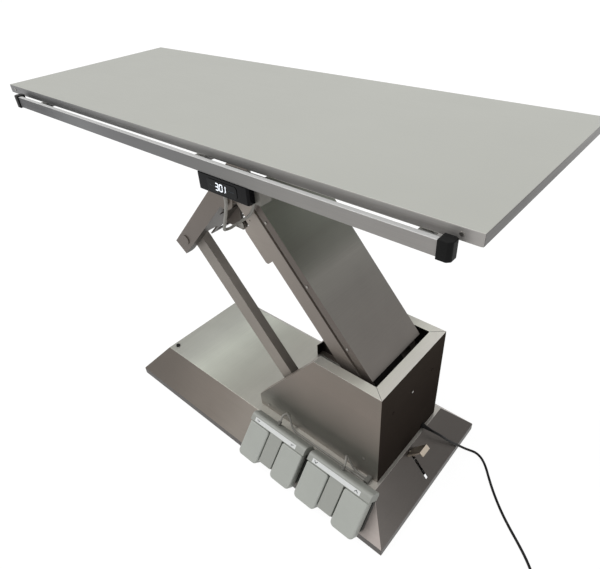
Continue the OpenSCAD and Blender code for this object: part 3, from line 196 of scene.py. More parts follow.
class Finish:
    """A material under way: its nodes, its links and its shader."""

    def __init__(self, name, metallic, roughness, specular=0.5):
        self.material = bpy.data.materials.new(name)
        self.material.use_nodes = True
        self.tree = self.material.node_tree
        self.shader = self.tree.nodes["Principled BSDF"]
        self.shader.inputs["Metallic"].default_value = metallic
        self.shader.inputs["Roughness"].default_value = roughness
        self.shader.inputs["Specular IOR Level"].default_value = specular
        self.coordinates = self.add("ShaderNodeTexCoord")

    def add(self, kind, **values):
        node = self.tree.nodes.new(kind)
        for key, value in values.items():
            if key in node.inputs:
                node.inputs[key].default_value = value
            else:
                setattr(node, key, value)
        return node

    def join(self, source, target):
        self.tree.links.new(source, target)

    def noise(self, scale, detail=2.0, roughness=0.5):
        """Noise over the object's own coordinates, stretched by a scale for each axis."""
        mapping = self.add("ShaderNodeMapping")
        mapping.inputs["Scale"].default_value = scale
        self.join(self.coordinates.outputs["Object"], mapping.inputs["Vector"])
        noise = self.add("ShaderNodeTexNoise")
        noise.inputs["Scale"].default_value = 1
        noise.inputs["Detail"].default_value = detail
        noise.inputs["Roughness"].default_value = roughness
        self.join(mapping.outputs["Vector"], noise.inputs["Vector"])
        return noise.outputs["Fac"]

    def spread(self, value, low, high, out_low, out_high):
        """Maps a value from one range to another."""
        node = self.add("ShaderNodeMapRange")
        for key, number in (("From Min", low), ("From Max", high), ("To Min", out_low),
                            ("To Max", out_high)):
            node.inputs[key].default_value = number
        self.join(value, node.inputs["Value"])
        return node.outputs["Result"]

    def vary(self, noise, low, high):
        """Maps the middle range of a noise to a range of values."""
        return self.spread(noise, *NOISE_SPAN, low, high)

    def maths(self, operation, *sources):
        return math_node(self.tree, operation, *sources)

    def along(self, direction):
        """How far a point lies along a direction, in metres."""
        node = self.add("ShaderNodeVectorMath", operation="DOT_PRODUCT")
        node.inputs[1].default_value = direction
        self.join(self.coordinates.outputs["Object"], node.inputs[0])
        return node.outputs["Value"]

    def ramp(self, value, stops):
        """A colour ramp with stops of place and colour."""
        node = self.add("ShaderNodeValToRGB")
        elements = node.color_ramp.elements
        while len(elements) < len(stops):
            elements.new(0.5)
        for element, (place, colour) in zip(elements, stops):
            element.position = place
            element.color = colour
        self.join(value, node.inputs["Fac"])
        return node.outputs["Color"]

    def scale_colour(self, colour, factor):
        """A colour made lighter or darker by a factor."""
        node = self.add("ShaderNodeVectorMath", operation="SCALE")
        self.join(colour, node.inputs[0])
        self.join(factor, node.inputs["Scale"])
        return node.outputs["Vector"]

    def bump(self, height, strength, distance):
        node = self.add("ShaderNodeBump")
        node.inputs["Strength"].default_value = strength
        node.inputs["Distance"].default_value = distance
        self.join(height, node.inputs["Height"])
        self.join(node.outputs["Normal"], self.shader.inputs["Normal"])


GRAIN = 900
GRAIN_ALONG = 9
GRAIN_BUMP = 0.12
GRAIN_HEIGHT = 0.2*MM
CLOUD_SCALE = (7, 7, 7)
ROUGHNESS_SWING = 0.07
PLAIN_CLOUD_SCALE = (14, 14, 14)
PLAIN_SMOOTHER = 0.05
PLAIN_ROUGHER = 0.06


def grain_scale(direction):
    """Noise scale whose streaks run along one axis, x, y or z."""
    return tuple(GRAIN_ALONG if axis == direction else GRAIN for axis in "xyz")


def brushed(name, stops, direction=(0, 0, 1), span=(0, 1), grain="x", metallic=0.55,
            roughness=0.42, streak=0.06, cloud=0.05, specular=0.5):
    """Brushed steel: a run of shades (place, red, green, blue) along a direction, which paints
    reflections and shading where it changes, with grain and clouds.
    """
    f = Finish(name, metallic, roughness, specular)
    place = f.spread(f.along(direction), span[0], span[1], 0, 1)
    colour = f.ramp(place, [(at, tone(*shade)) for at, *shade in stops])
    streaks = f.noise(grain_scale(grain), 3, 0.6)
    clouds = f.noise(CLOUD_SCALE)
    factor = f.maths("MULTIPLY", f.vary(streaks, 1 - streak, 1 + streak),
                     f.vary(clouds, 1 - cloud, 1 + cloud))
    f.join(f.scale_colour(colour, factor), f.shader.inputs["Base Color"])
    f.join(f.vary(streaks, roughness - ROUGHNESS_SWING, roughness + ROUGHNESS_SWING),
           f.shader.inputs["Roughness"])
    f.bump(streaks, GRAIN_BUMP, GRAIN_HEIGHT)
    return f.material


def plain(name, colour, metallic=0.0, roughness=0.5, grain=1500, height=0.00008, vary=0.05,
          strength=0.3, specular=0.5):
    """Moulded plastic, rubber or painted metal with a fine grain and a slight change of shade."""
    f = Finish(name, metallic, roughness, specular)
    fine = f.noise((grain, grain, grain))
    clouds = f.noise(PLAIN_CLOUD_SCALE, 3)
    darker = tuple(c*(1 - vary) for c in colour[:3]) + (1,)
    lighter = tuple(min(1, c*(1 + vary)) for c in colour[:3]) + (1,)
    stops = list(zip(NOISE_SPAN, (darker, lighter)))
    f.join(f.ramp(clouds, stops), f.shader.inputs["Base Color"])
    f.join(f.vary(clouds, roughness - PLAIN_SMOOTHER, roughness + PLAIN_ROUGHER),
           f.shader.inputs["Roughness"])
    f.bump(fine, strength, height)
    return f.material


def one(r, g, b):
    """The same shade from end to end."""
    return [(0, r, g, b), (1, r, g, b)]


ARM_DOWN = Vector((0.3976, 0, -0.4494)).normalized()
ARM_TOP = Vector((0.0314, 0, 0.7924))
ARM_START = ARM_TOP.dot(ARM_DOWN)
ARM_OUT = Vector((0.749, 0, 0.6626))

# The pan's top: a faint painted sheen, lighter towards +X
top_metal = brushed("top_metal", [(0, 178, 179, 172), (1, 186, 187, 180)],
                    direction=(1, 0, 0), span=(-0.68, 0.3), grain="x", metallic=0.25,
                    roughness=0.5, streak=0.012, cloud=0.01)
# The pan's skirts: painted shading and reflection, lighter towards +X
skirt_metal = brushed("skirt_metal", [(0, 116, 116, 117), (0.2, 124, 124, 124),
                                      (0.5, 160, 159, 157),
                                      (0.8, 162, 160, 157),
                                      (1, 164, 161, 158)],
                      direction=(1, 0, 0), span=(-0.68, 0.68), grain="x", metallic=0.5)
# The pan's ends: painted shading and reflection, lighter towards +Y
end_metal = brushed("end_metal", [(0, 95, 93, 91), (0.26, 91, 89, 87),
                                  (0.5, 97, 95, 93), (0.75, 119, 117, 115),
                                  (1, 136, 134, 132)],
                    direction=(0, 1, 0), span=(-0.25, 0.25), grain="y", metallic=0.4)
# Rails, frame and the pan's underside: painted shading and reflection, lighter towards +X
rail_metal = brushed("rail_metal", [(0, 72, 72, 74), (0.11, 75, 75, 77),
                                    (0.2, 104, 105, 107), (0.26, 113, 114, 115),
                                    (0.38, 107, 107, 108), (0.55, 108, 108, 108),
                                    (0.66, 120, 119, 117), (0.8, 140, 138, 135),
                                    (1, 148, 145, 142)],
                     direction=(1, 0, 0), span=(-0.58, 0.63), grain="x", metallic=0.5)
holder_metal = brushed("holder_metal", one(112, 110, 104), grain="y", metallic=0.5)
# The rails' top faces: painted light, lighter than their sides
rail_light = brushed("rail_light", one(204, 204, 203), grain="x", metallic=0.5)
# The arm cover's outer face: painted reflections in bands down the arm
cover_metal = brushed("cover_metal", [(0, 134, 136, 128), (0.2, 123, 126, 117),
                                      (0.34, 102, 103, 95), (0.42, 108, 108, 101),
                                      (0.5, 129, 127, 121), (0.62, 115, 112, 107),
                                      (0.8, 112, 108, 103), (1, 114, 109, 104)],
                      direction=ARM_DOWN, span=(ARM_START, ARM_START + 0.54), grain="y",
                      metallic=0.6, roughness=0.36)
# The arm cover's other faces and its groove: painted shade
groove_metal = brushed("groove_metal", one(98, 90, 84), grain="x", metallic=0.5)
# The arm: painted shading, darker down the arm
arm_metal = brushed("arm_metal", [(0, 158, 150, 142), (0.5, 131, 123, 116),
                                  (1, 114, 106, 99)],
                    direction=ARM_DOWN, span=(ARM_START, ARM_START + 0.62), grain="x",
                    metallic=0.5)
# The links: painted shading, lighter down the arm
link_metal = brushed("link_metal", [(0, 132, 126, 119), (0.5, 138, 131, 123),
                                    (1, 146, 139, 130)],
                     direction=ARM_DOWN, span=(ARM_START, ARM_START + 0.7), grain="x",
                     metallic=0.5)
# The links' faces that turn up and towards +X: painted light
link_side = brushed("link_side", [(0, 172, 166, 160), (0.25, 172, 165, 158),
                                  (0.42, 158, 151, 144), (0.57, 145, 138, 130),
                                  (1, 140, 132, 124)],
                    direction=ARM_DOWN, span=(ARM_START, ARM_START + 0.7), grain="x",
                    metallic=0.5)
# The head: painted shading, lighter upwards
head_metal = brushed("head_metal", [(0, 106, 98, 92), (1, 118, 110, 102)],
                     direction=(0, 0, 1), span=(0.6, 0.92), grain="x", metallic=0.5)
# The head's inner side faces and the tilt shaft: painted shade
head_dark = brushed("head_dark", one(84, 79, 74), grain="x", metallic=0.5)
# The plinth's deck: painted reflections in bands along X
deck_metal = brushed("deck_metal", [(0, 158, 158, 150), (0.1, 172, 173, 165),
                                    (0.2, 192, 195, 184), (0.32, 174, 175, 165),
                                    (0.42, 170, 169, 160), (0.62, 186, 184, 176),
                                    (1, 186, 182, 175)],
                     direction=(1, 0, 0), span=(-0.37, 0.49), grain="y", metallic=0.45,
                     roughness=0.36, cloud=0.06)
# The plinth's slopes: painted shading and reflection, lighter towards +X
slope_metal = brushed("slope_metal", [(0, 100, 93, 86), (0.12, 102, 95, 88),
                                      (0.35, 124, 116, 108), (0.5, 140, 133, 125),
                                      (0.8, 120, 113, 107), (0.94, 168, 160, 155),
                                      (1, 180, 170, 165)],
                      direction=(1, 0, 0), span=(-0.44, 0.56), grain="x", metallic=0.5)
# The plinth's right slope: painted shade, darker than the other slopes
slope_right = brushed("slope_right", [(0, 108, 103, 99), (0.25, 90, 85, 81),
                                      (0.45, 80, 75, 71), (0.75, 80, 75, 71),
                                      (1, 78, 73, 69)],
                      direction=(0, 1, 0), span=(-0.24, 0.24), grain="y", metallic=0.55)
# The plinth's lip at the floor: painted shade
lip_metal = brushed("lip_metal", one(66, 60, 56), grain="x", metallic=0.5)
# The housing's front and back: painted reflections and shade in bands up the wall, with a dark band
# low down
house_front = brushed("house_front", [(0, 128, 122, 115), (0.05, 118, 114, 108),
                                      (0.1, 114, 112, 105), (0.24, 100, 98, 91),
                                      (0.42, 112, 105, 97), (0.75, 126, 116, 107),
                                      (1, 122, 113, 104)],
                      direction=(0, 0, 1), span=(0.117, 0.43), grain="x", metallic=0.5)
# The housing's right wall: painted shade, much darker than the other walls
house_right = brushed("house_right", [(0, 44, 39, 35), (0.4, 48, 42, 38),
                                      (1, 58, 52, 47)],
                      direction=(0, 0, 1), span=(0.117, 0.43), grain="y", metallic=0,
                      specular=0)
# The housing's slanted faces: painted light
house_slant = brushed("house_slant", one(130, 121, 112), grain="x", metallic=0.5)
# The housing's top rim: painted sheen, brighter towards +X
rim_metal = brushed("rim_metal", [(0, 112, 111, 105), (0.35, 150, 149, 142),
                                  (0.6, 172, 170, 163), (0.9, 222, 221, 211),
                                  (1, 224, 221, 214)],
                    direction=(1, 0, 0), span=(0.1, 0.48), grain="y", metallic=0.45)
# The faces inside the plinth and the housing: painted shade
inner_metal = brushed("inner_metal", one(40, 37, 34), grain="x", metallic=0.5,
                      specular=0.2)
tread_metal = brushed("tread_metal", one(196, 184, 168), grain="y", metallic=0.6)
dark_metal = plain("dark_metal", tone(48, 47, 45), 0.3, 0.45, 700, specular=0.2)
zinc_metal = brushed("zinc_metal", one(150, 147, 142), grain="y", metallic=0.9,
                     roughness=0.3)
bronze_metal = brushed("bronze_metal", one(96, 86, 72), grain="y", metallic=0.9,
                       roughness=0.35)
pedal_plastic = plain("pedal_plastic", tone(172, 175, 169), 0, 0.42, 1300, vary=0.02)
case_plastic = plain("case_plastic", tone(158, 160, 154), 0, 0.45, 1300, vary=0.02)
# The pedal cases' floors: painted shade in the gaps under the pads
case_dark = plain("case_dark", tone(70, 71, 68), 0, 0.55, 1300, vary=0.03, specular=0.2)
label_white = plain("label_white", tone(222, 224, 223), 0, 0.35, 2500, 0.00003, 0.02)
mark_grey = plain("mark_grey", tone(34, 37, 40), 0, 0.5, 2500, 0.00002, 0.03, specular=0.2)
key_grey = plain("key_grey", tone(70, 80, 88), 0, 0.4, 2500, 0.00002, 0.05, specular=0.2)
black_plastic = plain("black_plastic", tone(16, 16, 16), 0, 0.5, 1200, vary=0.1,
                      specular=0.12)
gloss_black = plain("gloss_black", tone(13, 13, 15), 0, 0.25, 1800, 0.00002, 0.08,
                    specular=0.1)
glass_black = plain("glass_black", tone(10, 11, 13), 0, 0.1, 900, 0.00001, 0.08,
                    specular=0.14)
foot_rubber = plain("foot_rubber", tone(26, 25, 24), 0, 0.75, 900, 0.0002, 0.12, specular=0.2)
cord_rubber = plain("cord_rubber", tone(14, 13, 13), 0, 0.5, 1600, 0.0001, 0.1, specular=0.2)
cable_grey = plain("cable_grey", tone(142, 140, 134), 0, 0.5, 1600, 0.0001, 0.05)
gland_grey = plain("gland_grey", tone(104, 103, 98), 0, 0.5, 1600, 0.0001, 0.05)
mat_orange = plain("mat_orange", tone(200, 110, 60), 0, 0.6, 900, 0.0002)
board_white = plain("board_white", tone(225, 223, 216), 0, 0.8, 500, 0.0004)


GLOW_SCALE = (400, 400, 400)
GLOW_LOW = 0.75
GLOW_HIGH = 1.0


def lit_white():
    """The display's lit figures."""
    f = Finish("lit_white", 0, 0.4)
    f.shader.inputs["Base Color"].default_value = tone(235, 240, 245)
    f.shader.inputs["Emission Color"].default_value = tone(226, 234, 242)
    glow = f.vary(f.noise(GLOW_SCALE), GLOW_LOW, GLOW_HIGH)
    f.join(glow, f.shader.inputs["Emission Strength"])
    return f.material


display_white = lit_white()


# Dressing of the CAD nodes

WELD_WITHIN = 0.00002
FLAT_ANGLE = math.radians(0.6)
EDGE_ANGLE = math.radians(32)
NORMAL_WEIGHT = 60


def soften(piece, edge, segments=2):
    """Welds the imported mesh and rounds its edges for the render."""
    weld = piece.modifiers.new("weld", "WELD")
    weld.merge_threshold = WELD_WITHIN
    flat = piece.modifiers.new("flat", "DECIMATE")
    flat.decimate_type = "DISSOLVE"
    flat.angle_limit = FLAT_ANGLE
    bevel = piece.modifiers.new("bevel", "BEVEL")
    bevel.width = edge
    bevel.segments = segments
    bevel.limit_method = "ANGLE"
    bevel.angle_limit = EDGE_ANGLE
    bevel.use_clamp_overlap = True
    normals = piece.modifiers.new("normals", "WEIGHTED_NORMAL")
    normals.weight = NORMAL_WEIGHT
    normals.keep_sharp = False


def dress(name, finish, edge, rules=()):
    """Gives a node its finish, other finishes on the faces that a rule picks, and soft edges."""
    dress_piece(NODES[name], finish, edge, rules)


def dress_piece(piece, finish, edge, rules):
    """The same for any piece; each rule is a test of a face's normal and centre, and a finish."""
    mesh = piece.data
    mesh.materials.clear()
    mesh.materials.append(finish)
    for _, other in rules:
        mesh.materials.append(other)
    for face in mesh.polygons:
        face.use_smooth = True
        face.material_index = 0
        for i, (picks, _) in enumerate(rules):
            if picks(face.normal, face.center):
                face.material_index = i + 1
                break
    soften(piece, edge)


def faces(x=0, y=0, z=0, near=0.9):
    """A rule that picks faces which look along a direction."""
    direction = Vector((x, y, z)).normalized()
    return lambda normal, centre: normal.dot(direction) > near


DECK_Z = 0.117
LIP_Z = 0.031
HOUSE_END = 480*MM
HOUSE_HALF = 145*MM
HOUSE_TOP = 430*MM
# How near a face's centre lies to the housing's outside to be an outer face
FACE_NEAR = 2*MM
RIM_NEAR = 10*MM
# Of the housing's rivets in the right wall, only the middle one is bright; the others take the
# wall's painted shade
RIVET_MIDDLE = 40*MM
# The head's parts behind this line lie in its shade, which is painted on their side faces
HEAD_INNER_Y = -0.09
# The controller's holder shows bare metal on its right end, below the rail's bars
HOLDER_RIGHT = 0.276
HOLDER_LOW = 0.937
# The photograph shows a bright slit between the pan's skirt and the rail
SKIRT_HEM_TOP = 0.953
SKIRT_RAISE = 0.005
PAN_EDGE = 1.6*MM


def raised_pan():
    """The tabletop with a skirt that ends a little higher."""
    mesh = NODES["tabletop"].data.copy()
    for corner in mesh.vertices:
        if corner.co.z < SKIRT_HEM_TOP:
            corner.co.z += SKIRT_RAISE
    pan = bpy.data.objects.new("pan", mesh)
    bpy.context.scene.collection.objects.link(pan)
    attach(pan, "top")
    dress_piece(pan, top_metal, PAN_EDGE, [
        (faces(y=-1), skirt_metal), (faces(y=1), skirt_metal), (faces(x=1), end_metal),
        (faces(x=-1), end_metal), (faces(z=-1), rail_metal)])
    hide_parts("tabletop")


raised_pan()

# Nodes of one finish, with the radius of their soft edges in millimetres
PLAIN_NODES = (
    ("top_frame", rail_metal, 0.8),
    ("rail_caps", black_plastic, 1.4),
    ("pan_rivets", zinc_metal, 0.5),
    ("controller", gloss_black, 0.9),
    ("controller_window", glass_black, 0.4),
    ("heating_mat", mat_orange, 0.3),
    ("insulation", board_white, 0.6),
    ("arm_frame", arm_metal, 1.2),
    ("cover_screws", zinc_metal, 0.4),
    ("arm_bushes", bronze_metal, 0.4),
    ("lift_drive", dark_metal, 1),
    ("lift_rod", zinc_metal, 0.8),
    ("head_pins", head_metal, 0.6),
    ("lift_pin", zinc_metal, 0.6),
    ("tilt_shaft", head_dark, 0.6),
    ("tilt_pin", zinc_metal, 0.5),
    ("tilt_drive", dark_metal, 0.8),
    ("tilt_rod", zinc_metal, 0.5),
    ("base_frame", dark_metal, 0.8),
    ("foot_pads", foot_rubber, 1),
    ("foot_studs", zinc_metal, 0.5),
    ("deck_plug", black_plastic, 0.6),
    ("pedestal", dark_metal, 1),
    ("base_pins", zinc_metal, 0.6),
    ("control_box", black_plastic, 1.5),
    ("shaft_bearings", dark_metal, 0.6),
    ("cord_gland", black_plastic, 0.6),
    ("plug", cord_rubber, 0.8),
    ("pedal_contacts", black_plastic, 0.3),
    ("hinge_pins", zinc_metal, 0.4),
    ("lead_glands", gland_grey, 0.6),
    ("foot_lever", tread_metal, 0.6),
    ("roller_shaft", zinc_metal, 0.6),
    ("roller_front", black_plastic, 1.2),
    ("roller_back", black_plastic, 1.2))
for node_name, node_finish, node_edge in PLAIN_NODES:
    dress(node_name, node_finish, node_edge*MM)

# Nodes whose faces differ, most of them by painted light and shade on some faces
dress("side_rails", rail_metal, 0.8*MM, [(faces(z=1), rail_light)])
dress("cross_bars", rail_metal, 0.6*MM, [(faces(z=1), rail_light)])
dress("controller_holder", black_plastic, 0.4*MM, [
    (lambda n, c: c.x > HOLDER_RIGHT and c.z < HOLDER_LOW, holder_metal)])
dress("arm_cover", groove_metal, 1.2*MM, [
    (faces(x=ARM_OUT.x, z=ARM_OUT.z), cover_metal)])
for link_name in ("link_front", "link_back"):
    dress(link_name, link_metal, 1.2*MM, [
        (lambda n, c: n.x > 0.4 and n.z > 0.4 and abs(n.y) < 0.3, link_side)])
dress("head_frame", head_metal, 0.8*MM, [
    (lambda n, c: abs(n.y) < 0.3 and c.y > HEAD_INNER_Y, head_dark)])
dress("base_cover", inner_metal, 1.2*MM, [
    (faces(z=1, near=0.99), deck_metal),
    (lambda n, c: c.z < LIP_Z and abs(n.z) < 0.2, lip_metal),
    (lambda n, c: n.x > 0.4 and n.z > 0.4, slope_right),
    (lambda n, c: n.z > 0.3, slope_metal)])
dress("housing", inner_metal, 0.7*MM, [
    (lambda n, c: n.z > 0.95 and c.z > HOUSE_TOP - RIM_NEAR, rim_metal),
    (lambda n, c: n.y < -0.9 and c.y < FACE_NEAR - HOUSE_HALF, house_front),
    (lambda n, c: n.y > 0.9 and c.y > HOUSE_HALF - FACE_NEAR, house_front),
    (lambda n, c: n.x > 0.9 and c.x > HOUSE_END - FACE_NEAR, house_right),
    (lambda n, c: n.z > 0.3, house_slant)])
dress("housing_rivets", zinc_metal, 0.4*MM, [
    (lambda n, c: c.x > HOUSE_END - FACE_NEAR and abs(c.y) > RIVET_MIDDLE, house_right)])


# Pieces that only the scene holds

def mesh_piece(name, body, finish, build):
    """A piece made by a function that fills a bmesh."""
    mesh = bpy.data.meshes.new(name)
    bm = bmesh.new()
    build(bm)
    bmesh.ops.recalc_face_normals(bm, faces=bm.faces)
    bm.to_mesh(mesh)
    bm.free()
    mesh.materials.append(finish)
    piece = bpy.data.objects.new(name, mesh)
    bpy.context.scene.collection.objects.link(piece)
    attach(piece, body)
    return piece


def prism(bm, outline, place, across, up, out, depth):
    """A flat outline in the across and up directions, drawn out along a third."""
    low = [bm.verts.new(place + across*u + up*v) for u, v in outline]
    high = [bm.verts.new(place + across*u + up*v + out*depth) for u, v in outline]
    bm.faces.new(low)
    bm.faces.new(high)
    n = len(outline)
    for i in range(n):
        j = (i + 1) % n
        bm.faces.new((low[i], low[j], high[j], high[i]))


RIBS = 7
RIB_STEPS = 6
RIB_SIDES = 24
RIB_DEPTH = 0.8*MM
COLLAR_SHARE = 0.12
RELIEF_END_R = 0.62*CORD_D
RELIEF_SKIN = 0.1*MM


def circle(r, sides):
    turns = [2*math.pi*i/sides for i in range(sides)]
    return [(r*math.cos(a), r*math.sin(a)) for a in turns]


def in_mm(points):
    return [(u*MM, v*MM) for u, v in points]


def ribbed_relief(bm):
    """The tapered strain relief: a body of rings whose radius steps between rib and groove."""
    low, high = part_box("strain_relief")
    middle = (low + high)/2
    length = high.x - low.x
    start_r = (high.z - low.z)/2
    rings = []
    steps = RIBS*RIB_STEPS
    for i in range(steps + 1):
        t = i/steps
        body_r = start_r + (RELIEF_END_R - start_r)*t
        wave = 0.5 - 0.5*math.cos(2*math.pi*t*RIBS)
        groove = RIB_DEPTH*wave if t > COLLAR_SHARE else 0
        r = max(body_r - groove, CORD_D/2 + RELIEF_SKIN)
        ring = []
        for j in range(RIB_SIDES):
            a = 2*math.pi*j/RIB_SIDES
            ring.append(bm.verts.new((low.x + t*length, middle.y + r*math.cos(a),
                                      middle.z + r*math.sin(a))))
        rings.append(ring)
    for a_ring, b_ring in zip(rings, rings[1:]):
        for j in range(RIB_SIDES):
            k = (j + 1) % RIB_SIDES
            bm.faces.new((a_ring[j], a_ring[k], b_ring[k], b_ring[j]))
    bm.faces.new(rings[0])
    bm.faces.new(rings[-1])


relief = mesh_piece("cord_relief", "base", cord_rubber, ribbed_relief)
for face in relief.data.polygons:
    face.use_smooth = len(face.vertices) == 4
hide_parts("strain_relief")


def lay_cord(name, path, diameter, body, replaced, finish):
    """A cord as a smooth tube along its path, which moves with its body, in place of the parts that
    it hides.
    """
    cord = cord_curve(name, path, diameter)
    cord.data.materials.append(finish)
    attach(cord, body)
    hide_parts(*replaced)


lay_cord("power_cord", power_cord_path(), CORD_D, "base", ("cord_tube", "cord_coil"),
         cord_rubber)
lay_cord("control_cable", smooth(CONTROL_ROUTE), CORD_D, "top", ("controller_cable",),
         cable_grey)
lay_cord("pedal_lead_left", smooth(LEFT_ROUTE), LEAD_D, "base", ("lead_left",),
         cable_grey)
lay_cord("pedal_lead_right", smooth(RIGHT_ROUTE), LEAD_D, "base", ("lead_right",),
         cable_grey)

# Display of the controller
SEGMENTS = {"3": "abgcd", "0": "abcdef", "1": "bc"}
DIGIT_W = 7.2*MM
DIGIT_H = 13*MM
BAR = 1.9*MM
LEAN = 0.08
FIGURE_STEP = DIGIT_W + 3.6*MM
FIRST_FIGURE = -1.5*FIGURE_STEP
LAST_FIGURE = FIRST_FIGURE + 1.75*FIGURE_STEP
DOT_X = FIRST_FIGURE + 2.12*FIGURE_STEP
DOT_R = 0.8*MM
KEY_FIRST = 19*MM
KEY_STEP = 5.5*MM
KEY_ARROW = 2.8*MM
KEY_RING_R = 1.6*MM
KEY_RING_THICK = 0.4*MM
KEY_RING_GAP = 0.6
window_low, window_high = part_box("controller_window")
WINDOW_MID = (window_low + window_high)/2
FACE_Y = window_low.y
LEFTWARD = Vector((1, 0, 0))
UPWARD = Vector((0, 0, 1))
OUTWARD = Vector((0, -1, 0))
INK = 0.15*MM


def bar_outline(x0, z0, x1, z1):
    """A segment with pointed ends, leaning like the digits."""
    tip = BAR/2
    if abs(x1 - x0) > abs(z1 - z0):
        points = [(x0, z0), (x0 + tip, z0 + tip), (x1 - tip, z0 + tip), (x1, z0),
                  (x1 - tip, z0 - tip), (x0 + tip, z0 - tip)]
    else:
        points = [(x0, z0), (x0 + tip, z0 + tip), (x0 + tip, z1 - tip), (x0, z1),
                  (x0 - tip, z1 - tip), (x0 - tip, z0 + tip)]
    return [(x + LEAN*z, z) for x, z in points]


def digit(bm, figure, x):
    """A figure from its segments, at a distance from the window's middle."""
    h = DIGIT_H/2
    ends = {"a": (0, h, DIGIT_W, h), "g": (0, 0, DIGIT_W, 0), "d": (0, -h, DIGIT_W, -h),
            "b": (DIGIT_W, 0, DIGIT_W, h), "c": (DIGIT_W, -h, DIGIT_W, 0),
            "e": (0, -h, 0, 0), "f": (0, 0, 0, h)}
    for letter in SEGMENTS[figure]:
        x0, z0, x1, z1 = ends[letter]
        place = Vector((WINDOW_MID.x + x, FACE_Y, WINDOW_MID.z))
        prism(bm, bar_outline(x0, z0, x1, z1), place, LEFTWARD, UPWARD, OUTWARD, INK)


def display_figures(bm):
    """Three figures and a point."""
    digit(bm, "3", FIRST_FIGURE)
    digit(bm, "0", FIRST_FIGURE + FIGURE_STEP)
    digit(bm, "1", LAST_FIGURE)
    dot = Vector((WINDOW_MID.x + DOT_X, FACE_Y, WINDOW_MID.z - DIGIT_H/2))
    prism(bm, circle(DOT_R, 8), dot, LEFTWARD, UPWARD, OUTWARD, INK)


mesh_piece("display_figures", "top", display_white, display_figures)


def ring_mark(bm, x, z, r, thick, gap):
    """A round key mark: an open ring."""
    outer = []
    steps = 20
    for i in range(steps + 1):
        a = gap + (2*math.pi - 2*gap)*i/steps + math.pi/2
        outer.append((r*math.cos(a), r*math.sin(a)))
    inner = [(u*(1 - thick/r), v*(1 - thick/r)) for u, v in reversed(outer)]
    place = Vector((x, FACE_Y, z))
    for i in range(steps):
        quad = [outer[i], outer[i + 1], inner[steps - 1 - i], inner[steps - i]]
        prism(bm, quad, place, LEFTWARD, UPWARD, OUTWARD, INK)


def arrow_outline(size, up):
    """A key's chevron, pointing up or down."""
    s = size/2 if up else -size/2
    w = size/2
    t = size/5 if up else -size/5
    foot = -s - t + s/5
    return [(-w, -s + t), (0, s), (w, -s + t), (w, foot), (0, s - 2.2*t), (-w, foot)]


def key_marks(bm):
    """Three marks on each side of the figures: a ring between two chevrons."""
    for side in (-1, 1):
        for i in range(3):
            x = WINDOW_MID.x + side*(KEY_FIRST + KEY_STEP*i)
            if i == 1:
                ring_mark(bm, x, WINDOW_MID.z, KEY_RING_R, KEY_RING_THICK, KEY_RING_GAP)
            else:
                place = Vector((x, FACE_Y, WINDOW_MID.z))
                outline = arrow_outline(KEY_ARROW, side*(i - 1) > 0)
                prism(bm, outline, place, LEFTWARD, UPWARD, OUTWARD, INK)


mesh_piece("key_marks", "top", key_grey, key_marks)

# Pedals with softly rounded pads and cases, in the slope's own directions
SLOPE = math.atan2(87, 75)
SLOPE_UP = Vector((0, math.cos(SLOPE), math.sin(SLOPE)))
SLOPE_OUT = Vector((0, -math.sin(SLOPE), math.cos(SLOPE)))
ALONG = Vector((1, 0, 0))
DECK_EDGE_Y = -0.170
PEDAL_LEN = 200*MM
PEDAL_X = (89*MM, 303*MM)
PAD_W = 72*MM
PAD_SIDE = 2*MM
PAD_FAR = -122*MM
PAD_NEAR = -18*MM
PAD_LOW = 20*MM
PAD_TOP = 45*MM
PAD_SOFT = 4*MM
FREE_R = 13*MM
INNER_R = 8*MM
OUTER_R = 4.5*MM
CASE_FAR = -106*MM
BRIDGE_HALF = 22.5*MM
BRIDGE_NEAR = -14*MM
BRIDGE_TOP = 43.5*MM
FLOOR_SIDE = 1*MM
FLOOR_NEAR = -8*MM
FLOOR_TOP = 12*MM
CASE_EDGE = 3*MM
RIDGE_TOP = 46*MM
RIDGE_PROFILE = [(-16, 0), (0, 0), (6, 6), (9, 12), (9, 37), (7, 41.5), (3, 44.8), (-3, 46),
                 (-16, 46)]
CORNER_STEPS = 6
SOFT_STEPS = 4
LABEL_LOW = -14*MM
LABEL_HIGH = -2*MM
LABEL_RISE = 0.3*MM
LABEL_SOFT = 0.1*MM
# Along a pedal's length, as shares of it
LABEL_ENDS = (0.08, 0.85)
MARK_ENDS = (0.14, 0.79)
MARK_TILT = 0.5


def slope_point(x, v, w):
    """A point at x along the front slope, v up the slope from the deck's edge and w out of it."""
    return Vector((x, DECK_EDGE_Y, DECK_Z)) + SLOPE_UP*v + SLOPE_OUT*w


def soft_outline(x0, v0, x1, v1, radii, shrink):
    """A rectangle with a radius for each corner, drawn in by a distance."""
    corners = ((x0, v0, 1, 1), (x1, v0, -1, 1), (x1, v1, -1, -1), (x0, v1, 1, -1))
    out = []
    for k, ((x, v, inward_x, inward_v), r) in enumerate(zip(corners, radii)):
        for i in range(CORNER_STEPS + 1):
            a = math.pi*(1 + k/2 + i/(2*CORNER_STEPS))
            out.append((x + inward_x*r + (r - shrink)*math.cos(a),
                        v + inward_v*r + (r - shrink)*math.sin(a)))
    return out


